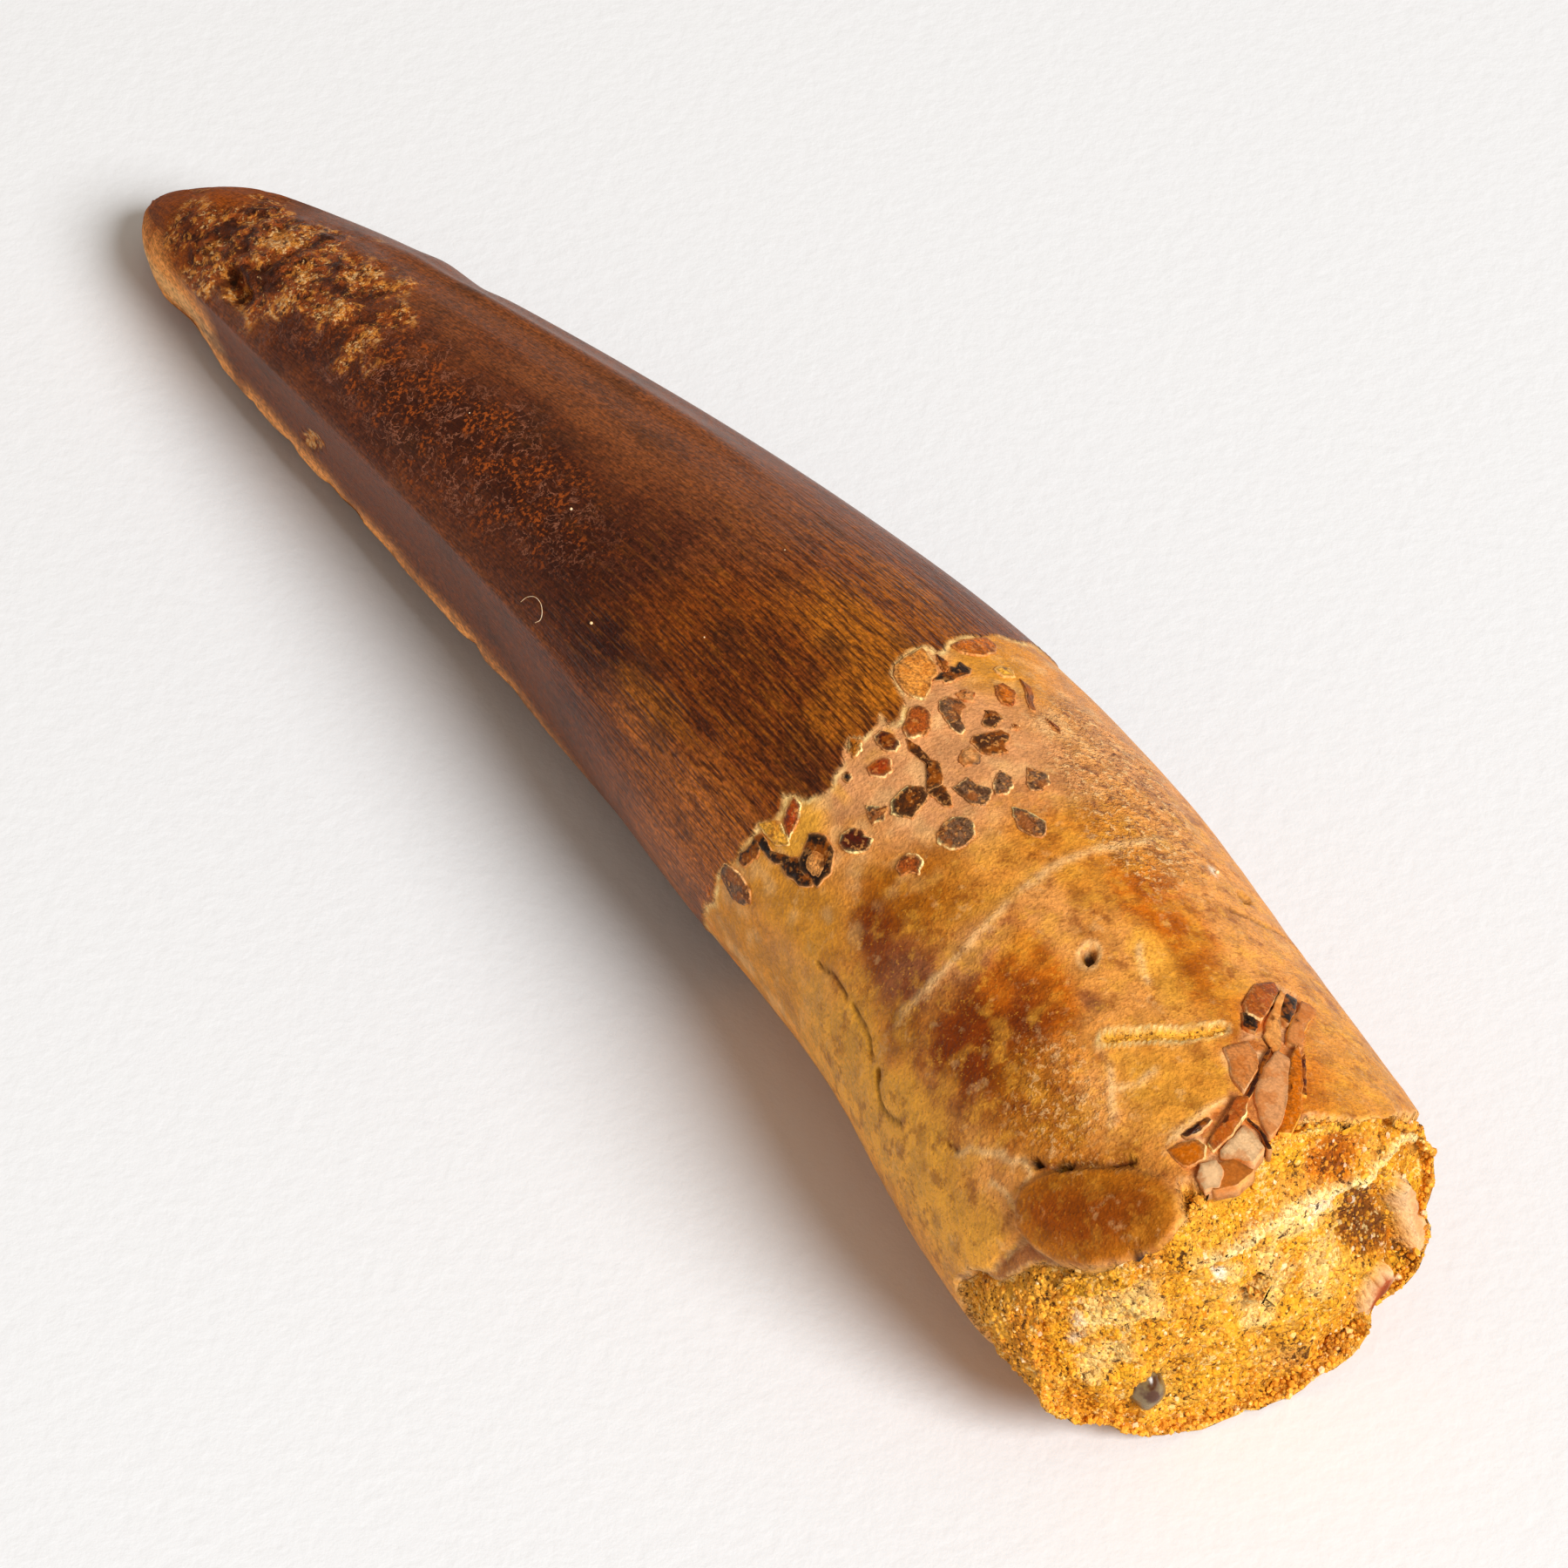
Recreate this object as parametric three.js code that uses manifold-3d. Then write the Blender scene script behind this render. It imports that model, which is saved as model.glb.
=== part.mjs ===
// A Spinosaurus tooth, lying on its flank: one fossil body, from the blunt tip of its enamel crown
// to the broken end of its sand-filled root.
//
// Millimetres, +Z up. The tip points along -X and the root along +X. The tooth bows towards +Y, and
// its sharp keel runs along the -Y side. The origin is the middle of the underside.

import * as THREE from 'three';
import Module from 'manifold-3d';
import { mergeVertices } from 'three/addons/utils/BufferGeometryUtils.js';

const wasm = await Module();
wasm.setup();

// ---------------------------------------------------------------- driving dimensions

const LENGTH = 112;
const THICKNESS_RATIO = 0.78; // height over width: a tooth is flattened from side to side
const TIP_ROUNDING = 8; // length of the worn, domed tip
const REST_DEPTH = 0.25; // how much of the rounded underside is worn flat where it rests

// The middle line and the width, at distances from the tip.
const STATIONS = [
  { along: 0, offset: 0, width: 6.4 },
  { along: 6, offset: 0.6, width: 9.3 },
  { along: 16, offset: 1.6, width: 13.1 },
  { along: 28, offset: 2.6, width: 16.2 },
  { along: 42, offset: 3.7, width: 19.3 },
  { along: 56, offset: 4.3, width: 22.2 },
  { along: 70, offset: 4.3, width: 24.5 },
  { along: 84, offset: 3.7, width: 25.2 },
  { along: 98, offset: 1.4, width: 25.9 },
  { along: LENGTH, offset: -0.1, width: 25.4 },
];

// The middle of the finished shape's box, measured from the tip and from the first station.
const MIDDLE_ALONG = LENGTH / 2;
const MIDDLE_ACROSS = 2.05;

// Angles go around a section in degrees: 0 is the bowed side (+Y), 90 is the top.
const KEEL_ANGLE = 208;
const BAND_ANGLE = 158; // the ridge line where the hollow band beside the keel begins
const UNDERCUT_ANGLE = 248; // where the smaller hollow under the keel ends
const BAND_DEPTH = 0.1; // deepest hollow of the band, over the local half width
const UNDERCUT_DEPTH = 0.03;
const KEEL_LIP = 0.035; // how far the keel's edge stands out, over the local half width
const KEEL_LIP_SPREAD = 10; // degrees to each side of the keel
const KEEL_STARTS = { from: 1, to: 12 }; // distances from the tip between which the keel rises
const KEEL_FADES = { from: 44, to: 68 }; // and between which it dies out, at the neck

// How far the wall reaches before the broken end, by the angle around the section.
const BROKEN_RIM = [
  { angle: 0, along: 109.4 },
  { angle: 35, along: 110.3 },
  { angle: 65, along: 110.8 },
  { angle: 95, along: 110.6 },
  { angle: 120, along: 111.9 },
  { angle: 150, along: 109.4 },
  { angle: 185, along: 108.7 },
  { angle: 230, along: 109.4 },
  { angle: 265, along: 111.1 },
  { angle: 300, along: 111.8 },
  { angle: 330, along: 111.1 },
  { angle: 360, along: 109.4 },
];
const RIM_BEVEL = 0.9; // the broken edge is crumbled back to this radius

// Grid of the faceted surface.
const AROUND = 72;
const WALL_ROWS = 42;
const TIP_ROWS = 6; // of the wall rows, how many divide the domed tip
const FACE_ROWS = 6;

// ---------------------------------------------------------------- shape functions

const radians = THREE.MathUtils.degToRad;

/** Smooth curve through the rows of a table: cubic pieces that share their slope at each row. */
function through(rows, where, what, at) {
  const last = rows.length - 1;
  const gap = (i) => rows[i + 1][where] - rows[i][where];
  const slope = (i) => (rows[i + 1][what] - rows[i][what]) / gap(i);
  const slopeAt = (i) => {
    if (i === 0) return slope(0);
    if (i === last) return slope(last - 1);
    return (slope(i - 1) * gap(i) + slope(i) * gap(i - 1)) / (gap(i - 1) + gap(i));
  };
  let i = 0;
  while (i < last - 1 && at >= rows[i + 1][where]) i += 1;
  const h = gap(i);
  const t = THREE.MathUtils.clamp((at - rows[i][where]) / h, 0, 1);
  const s = 1 - t;
  return (
    rows[i][what] * s * s * (1 + 2 * t) +
    slopeAt(i) * h * t * s * s +
    rows[i + 1][what] * t * t * (1 + 2 * s) -
    slopeAt(i + 1) * h * t * t * s
  );
}

/** Quarter of an ellipse from nothing at the tip to full size at the end of the rounding. */
function tipDome(along) {
  const left = 1 - Math.min(along / TIP_ROUNDING, 1);
  return Math.sqrt(1 - left * left);
}

/** Strength of the keel and its hollow band, from 0 to 1. */
function keelStrength(along) {
  const rise = THREE.MathUtils.smoothstep(along, KEEL_STARTS.from, KEEL_STARTS.to);
  const fall = THREE.MathUtils.smoothstep(along, KEEL_FADES.from, KEEL_FADES.to);
  return rise * (1 - fall);
}

/** Half a sine wave between two angles, 0 outside them. */
function hollow(angle, from, to) {
  const share = (angle - from) / (to - from);
  return share > 0 && share < 1 ? Math.sin(Math.PI * share) : 0;
}

/** Size of the section over the plain oval: more at the keel's edge, less in its two hollows. */
function sectionShare(along, angle) {
  const lip = KEEL_LIP * Math.max(1 - Math.abs(angle - KEEL_ANGLE) / KEEL_LIP_SPREAD, 0);
  const band = BAND_DEPTH * hollow(angle, BAND_ANGLE, KEEL_ANGLE);
  const under = UNDERCUT_DEPTH * hollow(angle, KEEL_ANGLE, UNDERCUT_ANGLE);
  return 1 + keelStrength(along) * (lip - band - under);
}

/** A point of the wall. The section is an oval that just dips below the table it rests on. */
function wallPoint(along, angle, share = 1) {
  const width = through(STATIONS, 'along', 'width', along);
  const half = (width / 2) * tipDome(along) * sectionShare(along, angle) * share;
  const turn = radians(angle);
  return new THREE.Vector3(
    along - MIDDLE_ALONG,
    through(STATIONS, 'along', 'offset', along) - MIDDLE_ACROSS + half * Math.cos(turn),
    (width / 2) * THICKNESS_RATIO - REST_DEPTH + half * THICKNESS_RATIO * Math.sin(turn),
  );
}

/** A point of the broken end, from the rim (share 1) to the middle of the face (share 0). */
function facePoint(angle, share) {
  const rim = through(BROKEN_RIM, 'angle', 'along', angle);
  const along = THREE.MathUtils.lerp(LENGTH, rim, share ** 2);
  const shrunk = share * (1 - RIM_BEVEL / through(STATIONS, 'along', 'width', rim));
  const point = wallPoint(rim, angle, shrunk);
  point.x = along - MIDDLE_ALONG;
  return point;
}

// ---------------------------------------------------------------- surface

/** The rings of points from the tip to the middle of the broken end. */
function rings() {
  const angles = Array.from({ length: AROUND }, (_, j) => (KEEL_ANGLE + (j * 360) / AROUND) % 360);
  const wall = Array.from({ length: WALL_ROWS }, (_, i) => {
    const tipShare = Math.min((i + 1) / TIP_ROWS, 1);
    const bodyShare = Math.max((i + 1 - TIP_ROWS) / (WALL_ROWS - TIP_ROWS), 0);
    return angles.map((angle) => {
      const rim = through(BROKEN_RIM, 'angle', 'along', angle);
      const along = TIP_ROUNDING * tipShare ** 2 + (rim - TIP_ROUNDING) * bodyShare;
      return wallPoint(along, angle);
    });
  });
  const face = Array.from({ length: FACE_ROWS }, (_, i) =>
    angles.map((angle) => facePoint(angle, 1 - i / FACE_ROWS)),
  );
  return [...wall, ...face];
}

/** Closed surface: a fan at the tip, a band between each two rings, and a fan in the face. */
function surface() {
  const rows = rings();
  const points = [wallPoint(0, 0), ...rows.flat(), facePoint(0, 0)];
  const at = (row, j) => 1 + row * AROUND + (j % AROUND);
  const triangles = [];
  for (let j = 0; j < AROUND; j += 1) {
    triangles.push(0, at(0, j + 1), at(0, j));
    for (let row = 0; row < rows.length - 1; row += 1) {
      triangles.push(at(row, j), at(row, j + 1), at(row + 1, j));
      triangles.push(at(row, j + 1), at(row + 1, j + 1), at(row + 1, j));
    }
    triangles.push(points.length - 1, at(rows.length - 1, j), at(rows.length - 1, j + 1));
  }
  return new THREE.BufferGeometry().setFromPoints(points).setIndex(triangles);
}

// ---------------------------------------------------------------- the flat it rests on

function toSolid(geometry) {
  const merged = mergeVertices(geometry);
  return new wasm.Manifold(
    new wasm.Mesh({
      numProp: 3,
      vertProperties: new Float32Array(merged.attributes.position.array),
      triVerts: new Uint32Array(merged.index.array),
    }),
  );
}

function toGeometry(solid) {
  const { vertProperties, triVerts } = solid.getMesh();
  const geometry = new THREE.BufferGeometry();
  geometry.setAttribute('position', new THREE.BufferAttribute(vertProperties, 3));
  geometry.setIndex(new THREE.BufferAttribute(triVerts, 1));
  geometry.computeVertexNormals();
  return geometry;
}

/** A block that reaches from the table down past the whole underside. */
function blockUnderTable() {
  const block = new THREE.BoxGeometry(2 * LENGTH, LENGTH, LENGTH);
  block.deleteAttribute('normal');
  block.deleteAttribute('uv');
  return block.translate(0, 0, -LENGTH / 2);
}

// ---------------------------------------------------------------- the piece

function tooth() {
  const rested = toSolid(surface()).subtract(toSolid(blockUnderTable()));
  const amber = new THREE.MeshStandardMaterial({ color: '#8c4f1f', roughness: 0.4, metalness: 0 });
  const mesh = new THREE.Mesh(toGeometry(rested), amber);
  mesh.name = 'tooth';
  return mesh;
}

const group = new THREE.Group();
group.add(tooth());

export default group;
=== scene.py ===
# %% [markdown]
# # A Spinosaurus tooth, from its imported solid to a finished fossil
#
# The real thing is one stone body. A crown of brown enamel sits on a root of softer dentine. The neck
# between them was crushed and filled with fine sand and chips, and the root's end is broken off and
# full of coarser sand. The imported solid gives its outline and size. This lesson builds a finer skin over
# that outline, paints it, and sets the loose pieces into it: chips, splinters and grains.
#
# Every length below is in millimetres on the real tooth, until the points go into a mesh.

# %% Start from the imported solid
import math

import bpy
import numpy as np
from mathutils import Euler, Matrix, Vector


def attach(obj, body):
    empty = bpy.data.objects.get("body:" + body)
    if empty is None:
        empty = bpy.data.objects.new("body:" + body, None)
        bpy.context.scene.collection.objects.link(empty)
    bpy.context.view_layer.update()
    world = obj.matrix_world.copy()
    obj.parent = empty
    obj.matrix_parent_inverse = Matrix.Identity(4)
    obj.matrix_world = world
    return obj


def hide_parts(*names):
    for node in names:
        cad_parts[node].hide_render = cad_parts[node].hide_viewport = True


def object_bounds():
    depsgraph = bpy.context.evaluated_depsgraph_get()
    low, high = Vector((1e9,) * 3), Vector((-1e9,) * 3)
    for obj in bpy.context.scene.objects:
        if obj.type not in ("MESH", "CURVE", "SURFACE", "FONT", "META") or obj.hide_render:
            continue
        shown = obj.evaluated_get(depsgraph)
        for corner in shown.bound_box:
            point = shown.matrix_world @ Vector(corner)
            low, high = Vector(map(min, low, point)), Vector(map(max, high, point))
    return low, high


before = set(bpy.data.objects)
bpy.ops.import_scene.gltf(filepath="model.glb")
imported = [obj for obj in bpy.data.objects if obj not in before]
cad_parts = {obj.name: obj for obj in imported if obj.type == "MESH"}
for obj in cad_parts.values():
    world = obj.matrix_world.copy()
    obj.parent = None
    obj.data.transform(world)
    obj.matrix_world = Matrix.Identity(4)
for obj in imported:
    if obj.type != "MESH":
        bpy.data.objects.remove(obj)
cad_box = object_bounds()
MM = 0.001
print("packed solid, mm:", [[round(v / MM, 2) for v in corner] for corner in cad_box])

# %% [markdown]
# ## The camera
#
# A long lens about a forearm's length away keeps the tooth's taper honest. The camera is placed by
# the turn around the table, the height above it and the distance, because these three are easy to read
# off a real table. The lens follows from how much width has to fit into the square frame.

# %% Camera
LOOK_AT = (10.68, -0.93, 8.0)
CAMERA_TURN, CAMERA_RISE, CAMERA_DISTANCE = 56.62, 45.0, 380.0  # degrees, degrees, millimetres
SEEN_WIDTH = 84.62
SENSOR = 36.0

turn, rise = math.radians(CAMERA_TURN), math.radians(CAMERA_RISE)
back = Vector((math.sin(turn) * math.cos(rise), -math.cos(turn) * math.cos(rise), math.sin(rise)))
camera = bpy.data.objects.new("camera", bpy.data.cameras.new("camera"))
camera.location = (Vector(LOOK_AT) + CAMERA_DISTANCE * back) * MM
camera.rotation_euler = Euler((math.pi / 2 - rise, 0, turn))
camera.data.sensor_width = SENSOR
camera.data.lens = SENSOR * CAMERA_DISTANCE / SEEN_WIDTH
camera.data.clip_start = 0.01
bpy.context.scene.collection.objects.link(camera)
bpy.context.scene.camera = camera
print("lens, mm:", round(camera.data.lens, 1))

# %% [markdown]
# ## Light and table
#
# One soft lamp as wide as a small window stands low beyond the root's end and throws the long soft
# shadow. A pale, slightly warm room fills that shadow to about a third, and gives the enamel its grey
# sheen where it turns away.

# %% Light
LAMP_TURN, LAMP_RISE, LAMP_DISTANCE = 9.0, 37.0, 2.4  # degrees from the root's end, degrees, metres
LAMP_WIDTH, LAMP_WATTS, LAMP_COLOUR = 1.2, 75.0, (0.96, 0.98, 1.0)
ROOM_COLOUR, ROOM_STRENGTH = (1.0, 0.86, 0.72, 1.0), 0.36

lamp_turn, lamp_rise = math.radians(LAMP_TURN), math.radians(LAMP_RISE)
reach = np.array([math.cos(lamp_turn) * math.cos(lamp_rise), math.sin(lamp_turn) * math.cos(lamp_rise),
                  math.sin(lamp_rise)])
lamp = bpy.data.objects.new("window_lamp", bpy.data.lights.new("window_lamp", "AREA"))
lamp.data.shape, lamp.data.size, lamp.data.energy = "DISK", LAMP_WIDTH, LAMP_WATTS
lamp.data.color = LAMP_COLOUR
lamp.location = Vector(reach * LAMP_DISTANCE)
lamp.rotation_euler = Vector(reach).to_track_quat("Z", "Y").to_euler()
bpy.context.scene.collection.objects.link(lamp)

world = bpy.data.worlds.new("pale_room")
world.use_nodes = True
world.node_tree.nodes["Background"].inputs["Color"].default_value = ROOM_COLOUR
world.node_tree.nodes["Background"].inputs["Strength"].default_value = ROOM_STRENGTH
bpy.context.scene.world = world
bpy.context.scene.view_settings.view_transform = "Standard"
print("lamp at, m:", [round(v, 3) for v in lamp.location])

# %% [markdown]
# ## The outline of the tooth
#
# The middle line and the width are given at ten distances from the tip, and a smooth curve runs through
# each. The section is a flattened oval. On one side it is drawn out into the keel, with a hollow band
# beside it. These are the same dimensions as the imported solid's, so the skin lies on it.

# %% The tooth's own dimensions
LENGTH, THICKNESS_RATIO, TIP_ROUNDING, REST_DEPTH = 112.0, 0.78, 8.0, 0.25
MIDDLE_ALONG, MIDDLE_ACROSS = LENGTH / 2, 2.05
STATION = np.array([0, 6, 16, 28, 42, 56, 70, 84, 98, LENGTH])
OFFSET = np.array([0, 0.6, 1.6, 2.6, 3.7, 4.3, 4.3, 3.7, 1.4, -0.1])
WIDTH = np.array([6.4, 9.3, 13.1, 16.2, 19.3, 22.2, 24.5, 25.2, 25.9, 25.4])
KEEL, BAND, UNDERCUT = 208.0, 158.0, 248.0  # degrees around the section, 90 is the top
BAND_DEPTH, UNDERCUT_DEPTH, KEEL_LIP, KEEL_LIP_SPREAD = 0.1, 0.03, 0.035, 10.0
KEEL_STARTS, KEEL_FADES = (1, 12), (44, 68)  # where the keel rises behind the tip and dies out
RIM_ANGLE = np.array([0, 35, 65, 95, 120, 150, 185, 230, 265, 300, 330, 360.0])
RIM_ALONG = np.array([109.4, 110.3, 110.8, 110.6, 111.9, 109.4, 108.7, 109.4, 111.1, 111.8, 111.1, 109.4])
RIM_BEVEL = 0.9


def through(xs, ys, x):
    """Smooth curve through points: a cubic piece between each two, its slope at a point being the mean of
    the slopes beside it, each weighted by the width of the other gap."""
    gap = np.diff(xs)
    rise = np.diff(ys) / gap
    slope = np.concatenate([rise[:1], (rise[:-1] * gap[1:] + rise[1:] * gap[:-1]) / (gap[:-1] + gap[1:]),
                            rise[-1:]])
    i = np.clip(np.searchsorted(xs, x, side="right") - 1, 0, len(gap) - 1)
    t = np.clip((x - xs[i]) / gap[i], 0, 1)
    s = 1 - t
    return (ys[i] * s * s * (1 + 2 * t) + slope[i] * gap[i] * t * s * s
            + ys[i + 1] * t * t * (1 + 2 * s) - slope[i + 1] * gap[i] * t * t * s)


def smooth(x, start, end):
    """0 before start, 1 after end, and an S-curve 3t² - 2t³ between them."""
    t = np.clip((x - start) / (end - start), 0, 1)
    return t * t * (3 - 2 * t)


def bell(x, centre, spread):
    """Bell curve: e to the power of minus the square of x's distance from the centre over the spread."""
    return np.exp(-((x - centre) / spread) ** 2)


def wall(along, angle, share=1.0):
    """Point of the wall: the middle line's point plus half the width, turned by the angle and flattened
    in height, times the tip's quarter ellipse and the section's own swell at the keel and its hollows."""
    around = np.mod(angle, 360)
    width = through(STATION, WIDTH, along)
    left = 1 - np.minimum(along / TIP_ROUNDING, 1)
    keel = smooth(along, *KEEL_STARTS) * (1 - smooth(along, *KEEL_FADES))
    lip = KEEL_LIP * np.maximum(1 - np.abs(around - KEEL) / KEEL_LIP_SPREAD, 0)
    band = BAND_DEPTH * np.sin(np.pi * np.clip((around - BAND) / (KEEL - BAND), 0, 1))
    under = UNDERCUT_DEPTH * np.sin(np.pi * np.clip((around - KEEL) / (UNDERCUT - KEEL), 0, 1))
    half = width / 2 * np.sqrt(1 - left * left) * (1 + keel * (lip - band - under)) * share
    radians = np.radians(angle)
    y = through(STATION, OFFSET, along) - MIDDLE_ACROSS + half * np.cos(radians)
    z = width / 2 * THICKNESS_RATIO - REST_DEPTH + half * THICKNESS_RATIO * np.sin(radians)
    return np.stack(np.broadcast_arrays(along - MIDDLE_ALONG, y, z), -1)


print("widest, mm:", WIDTH.max(), " keel at", KEEL, "degrees")

# %% [markdown]
# ## A grid that is finer where there is more to show
#
# Rows run around the tooth and columns run along it. They crowd at the tip, the crushed neck and the
# broken end, and on the upper flank. The rows go on over the broken rim and shrink to one point in the
# middle of the break, so the skin closes.

# %% Rows and columns
COLUMNS, TIP_ROWS, BODY_ROWS, FACE_ROWS = 256, 26, 300, 48
CROWDED_AROUND = [-152, -90, 0, 60, 128, 208], [1.2, 0.45, 0.7, 1.3, 1.6, 1.5]  # degrees, density
CROWDED_ALONG = [8, 30, 34, 64, 68, 78, 86, 92, 112], [2.5, 2.0, 1.3, 1.3, 4.2, 4.0, 3.3, 4.8, 4.8]


def spaced(density_at, density, start, end, count):
    """Places from start to end whose spacing is one over the density: equal steps of its running sum."""
    fine = np.linspace(start, end, 4001)
    total = np.cumsum(np.interp(fine, density_at, density))
    return np.interp(np.linspace(total[0], total[-1], count), total, fine)


angles = spaced(*CROWDED_AROUND, KEEL - 360, KEEL, COLUMNS + 1)[:-1]
tip_rows = TIP_ROUNDING * (np.arange(1, TIP_ROWS + 1) / TIP_ROWS) ** 2
body_rows = spaced(*CROWDED_ALONG, TIP_ROUNDING, LENGTH, BODY_ROWS + 1)[1:]
steps = np.concatenate([tip_rows, body_rows])
rim = through(RIM_ANGLE, RIM_ALONG, np.mod(angles, 360))
ends = np.clip((steps[:, None] - TIP_ROUNDING) / (LENGTH - TIP_ROUNDING), 0, 1)
along = steps[:, None] + (rim[None] - LENGTH) * ends
angle = np.broadcast_to(angles[None], along.shape)
shares = 1 - np.arange(FACE_ROWS) / FACE_ROWS
face = wall(rim[None], angles[None], shares[:, None] * (1 - RIM_BEVEL / through(STATION, WIDTH, rim)))
face[..., 0] = LENGTH + (rim - LENGTH)[None] * shares[:, None] ** 2 - MIDDLE_ALONG
grid = np.concatenate([wall(along, angle), face])
WALL_ROWS = len(steps)
print("grid:", grid.shape, "triangles:", 2 * grid.shape[0] * COLUMNS)

# %% [markdown]
# ## Lumps, outlines and lines
#
# Three kinds of helper draw all the relief. Lumps are smooth noise in space, so they have no seam around
# the tooth. An outline is a closed shape on the unrolled skin, measured by how deep a point lies inside it.
# A line is a crack or a ridge, measured by the distance to it. On the unrolled skin, *along* is the
# distance from the tip and *across* is the distance from the crest, positive towards the bowed side.

# %% Helpers for relief
def lumps(points, size, seed):
    """Smooth noise from -1 to 1: each corner of a lattice of cubes gets a fixed random number, and a point
    takes the mean of its cube's eight corners, weighted by S-curves of its place in the cube."""
    table = np.random.default_rng(seed).permutation(256)
    scaled = points / size + 100.37
    cell = np.floor(scaled).astype(int)
    f = scaled - cell
    f = f * f * (3 - 2 * f)
    total = 0.0
    for corner in range(8):
        step = np.array([corner & 1, corner >> 1 & 1, corner >> 2])
        c = (cell + step) & 255
        value = table[(table[(table[c[..., 0]] + c[..., 1]) & 255] + c[..., 2]) & 255]
        total = total + value * np.prod(np.where(step, f, 1 - f), -1)
    return total / 127.5 - 1


def rough(points, size, seed):
    """Lumps with smaller lumps on them: two parts of the size, one part of half the size."""
    return (2 * lumps(points, size, seed) + lumps(points, size / 2, seed + 1)) / 3


def line_gap(place, path, closed=False, reach=4.0):
    """Distance from each place to a path of straight stretches: the least of the distances to the foot
    of the perpendicular on each. It isn't worked out further away than the reach."""
    path = np.asarray(path, float)
    gap = np.full(place.shape[:-1], reach)
    near = ((place > path.min(0) - reach) & (place < path.max(0) + reach)).all(-1)
    a = path if closed else path[:-1]
    step = (np.roll(path, -1, 0) if closed else path[1:]) - a
    d = place[near][:, None] - a
    t = np.clip((d * step).sum(-1) / np.maximum((step * step).sum(-1), 1e-9), 0, 1)
    gap[near] = np.minimum(np.sqrt(((d - t[..., None] * step) ** 2).sum(-1)).min(1), reach)
    return gap


def depth(place, outline, reach=4.0):
    """How deep each place lies inside a closed outline, negative outside it: the distance to its edge,
    with the sign from how many edges a level ray from the place crosses."""
    a = np.asarray(outline, float)
    b = np.roll(a, -1, 0)
    inside = np.zeros(place.shape[:-1], bool)
    near = ((place > a.min(0)) & (place < a.max(0))).all(-1)
    u, v = place[near][:, :1], place[near][:, 1:]
    spans = (a[:, 1] > v) != (b[:, 1] > v)
    cut = a[:, 0] + (v - a[:, 1]) * (b[:, 0] - a[:, 0]) / np.where(b[:, 1] == a[:, 1], 1, b[:, 1] - a[:, 1])
    inside[near] = (spans & (u < cut)).sum(1) % 2 == 1
    return np.where(inside, 1, -1) * line_gap(place, a, True, reach)


def chart(along, angle):
    """Place on the unrolled skin: the distance from the tip, and the turn from the crest times the mean
    radius of the section there."""
    radius = through(STATION, WIDTH, along) * (1 + THICKNESS_RATIO) / 4
    return np.stack([along + 0 * angle, radius * np.radians(90 - angle)], -1)


def from_chart(place):
    """The way back: distance from the tip and angle around the section, from a place on the chart."""
    radius = through(STATION, WIDTH, place[..., 0]) * (1 + THICKNESS_RATIO) / 4
    return place[..., 0], 90 - np.degrees(place[..., 1] / radius)


place = chart(along, angle)
spot = grid[:WALL_ROWS]
around = np.mod(angle, 360)
turned = np.radians(angle)
FLOW_RADIUS = 11.0  # the flow field runs as if the tooth were a straight rod of this radius
flow = np.stack([along, FLOW_RADIUS * np.cos(turned), FLOW_RADIUS * np.sin(turned)], -1)
across = place[..., 1]
print("unrolled skin, mm:", round(float(np.ptp(across)), 1), "around")

# %% [markdown]
# ## Where the enamel ends, and where the skin of the root ends
#
# The enamel stops in a ragged edge at the crushed neck. The root's skin stops in a broken edge before
# the end, and sand shows beyond it. Each is an outline on the unrolled skin.

# %% Edges of the enamel and of the skin
ENAMEL_EDGE = [(71.6, -23), (72.4, -20), (73.2, -17), (73.9, -16.3), (73.8, -15.3), (73.6, -14.6),
               (73.8, -13.6), (74.3, -13.1), (74.6, -12.6), (74.4, -11.9), (74.6, -10.9), (74.4, -10.2),
               (75.2, -9.4), (75.1, -8.7), (74.3, -8.1), (75.0, -7.6), (75.9, -7.3), (76.1, -6.8),
               (76.4, -6.1), (75.9, -5.6), (75.8, -5.0), (75.0, -4.4), (74.5, -3.8), (75.1, -3.2),
               (74.8, -2.3), (74.3, -1.9), (75.2, -1.9), (75.3, -1.4), (74.8, -0.9), (74.3, -0.4),
               (73.3, -0.25), (72.1, 0.0), (71.5, 0.5), (71.1, 1.6), (70.9, 2.7), (71.8, 3.0), (71.1, 3.9),
               (70.9, 5.0), (71.1, 6.2), (70.8, 7.6), (71.3, 9.0), (70.6, 11), (71.4, 13), (70.9, 15),
               (72.2, 17), (71.4, 20), (73.0, 23), (72.3, 26), (73.5, 29), (72.2, 32), (72.9, 35),
               (71.5, 38), (72.4, 41), (71.3, 44), (71.6, 47)]
SKIN_EDGE = [(103.4, -24), (102.6, -21), (102.1, -18.6), (103.0, -17.2), (103.2, -16.4), (105.3, -15.4),
             (105.9, -14.2), (106.4, -12.9), (107.2, -12.1), (108.2, -11.4), (109.7, -10.1), (111.0, -8.4),
             (111.8, -7.2), (112.1, -6.4), (112.1, -5.4), (111.5, -4.4), (110.3, -4.0), (109.4, -3.7),
             (109.9, -3.3), (110.9, -3.0), (111.2, -1.8), (110.7, 0.0), (109.9, 0.7), (109.5, 2.2),
             (109.7, 3.4), (110.2, 4.4), (110.6, 5.2), (110.6, 8), (109.8, 10.5), (108.9, 13), (107.4, 16),
             (108.0, 19), (107.2, 22), (108.6, 25), (109.4, 28), (110.2, 31), (109.4, 34), (108.0, 37),
             (106.6, 40), (104.9, 43), (103.9, 45), (103.4, 47)]

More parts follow.
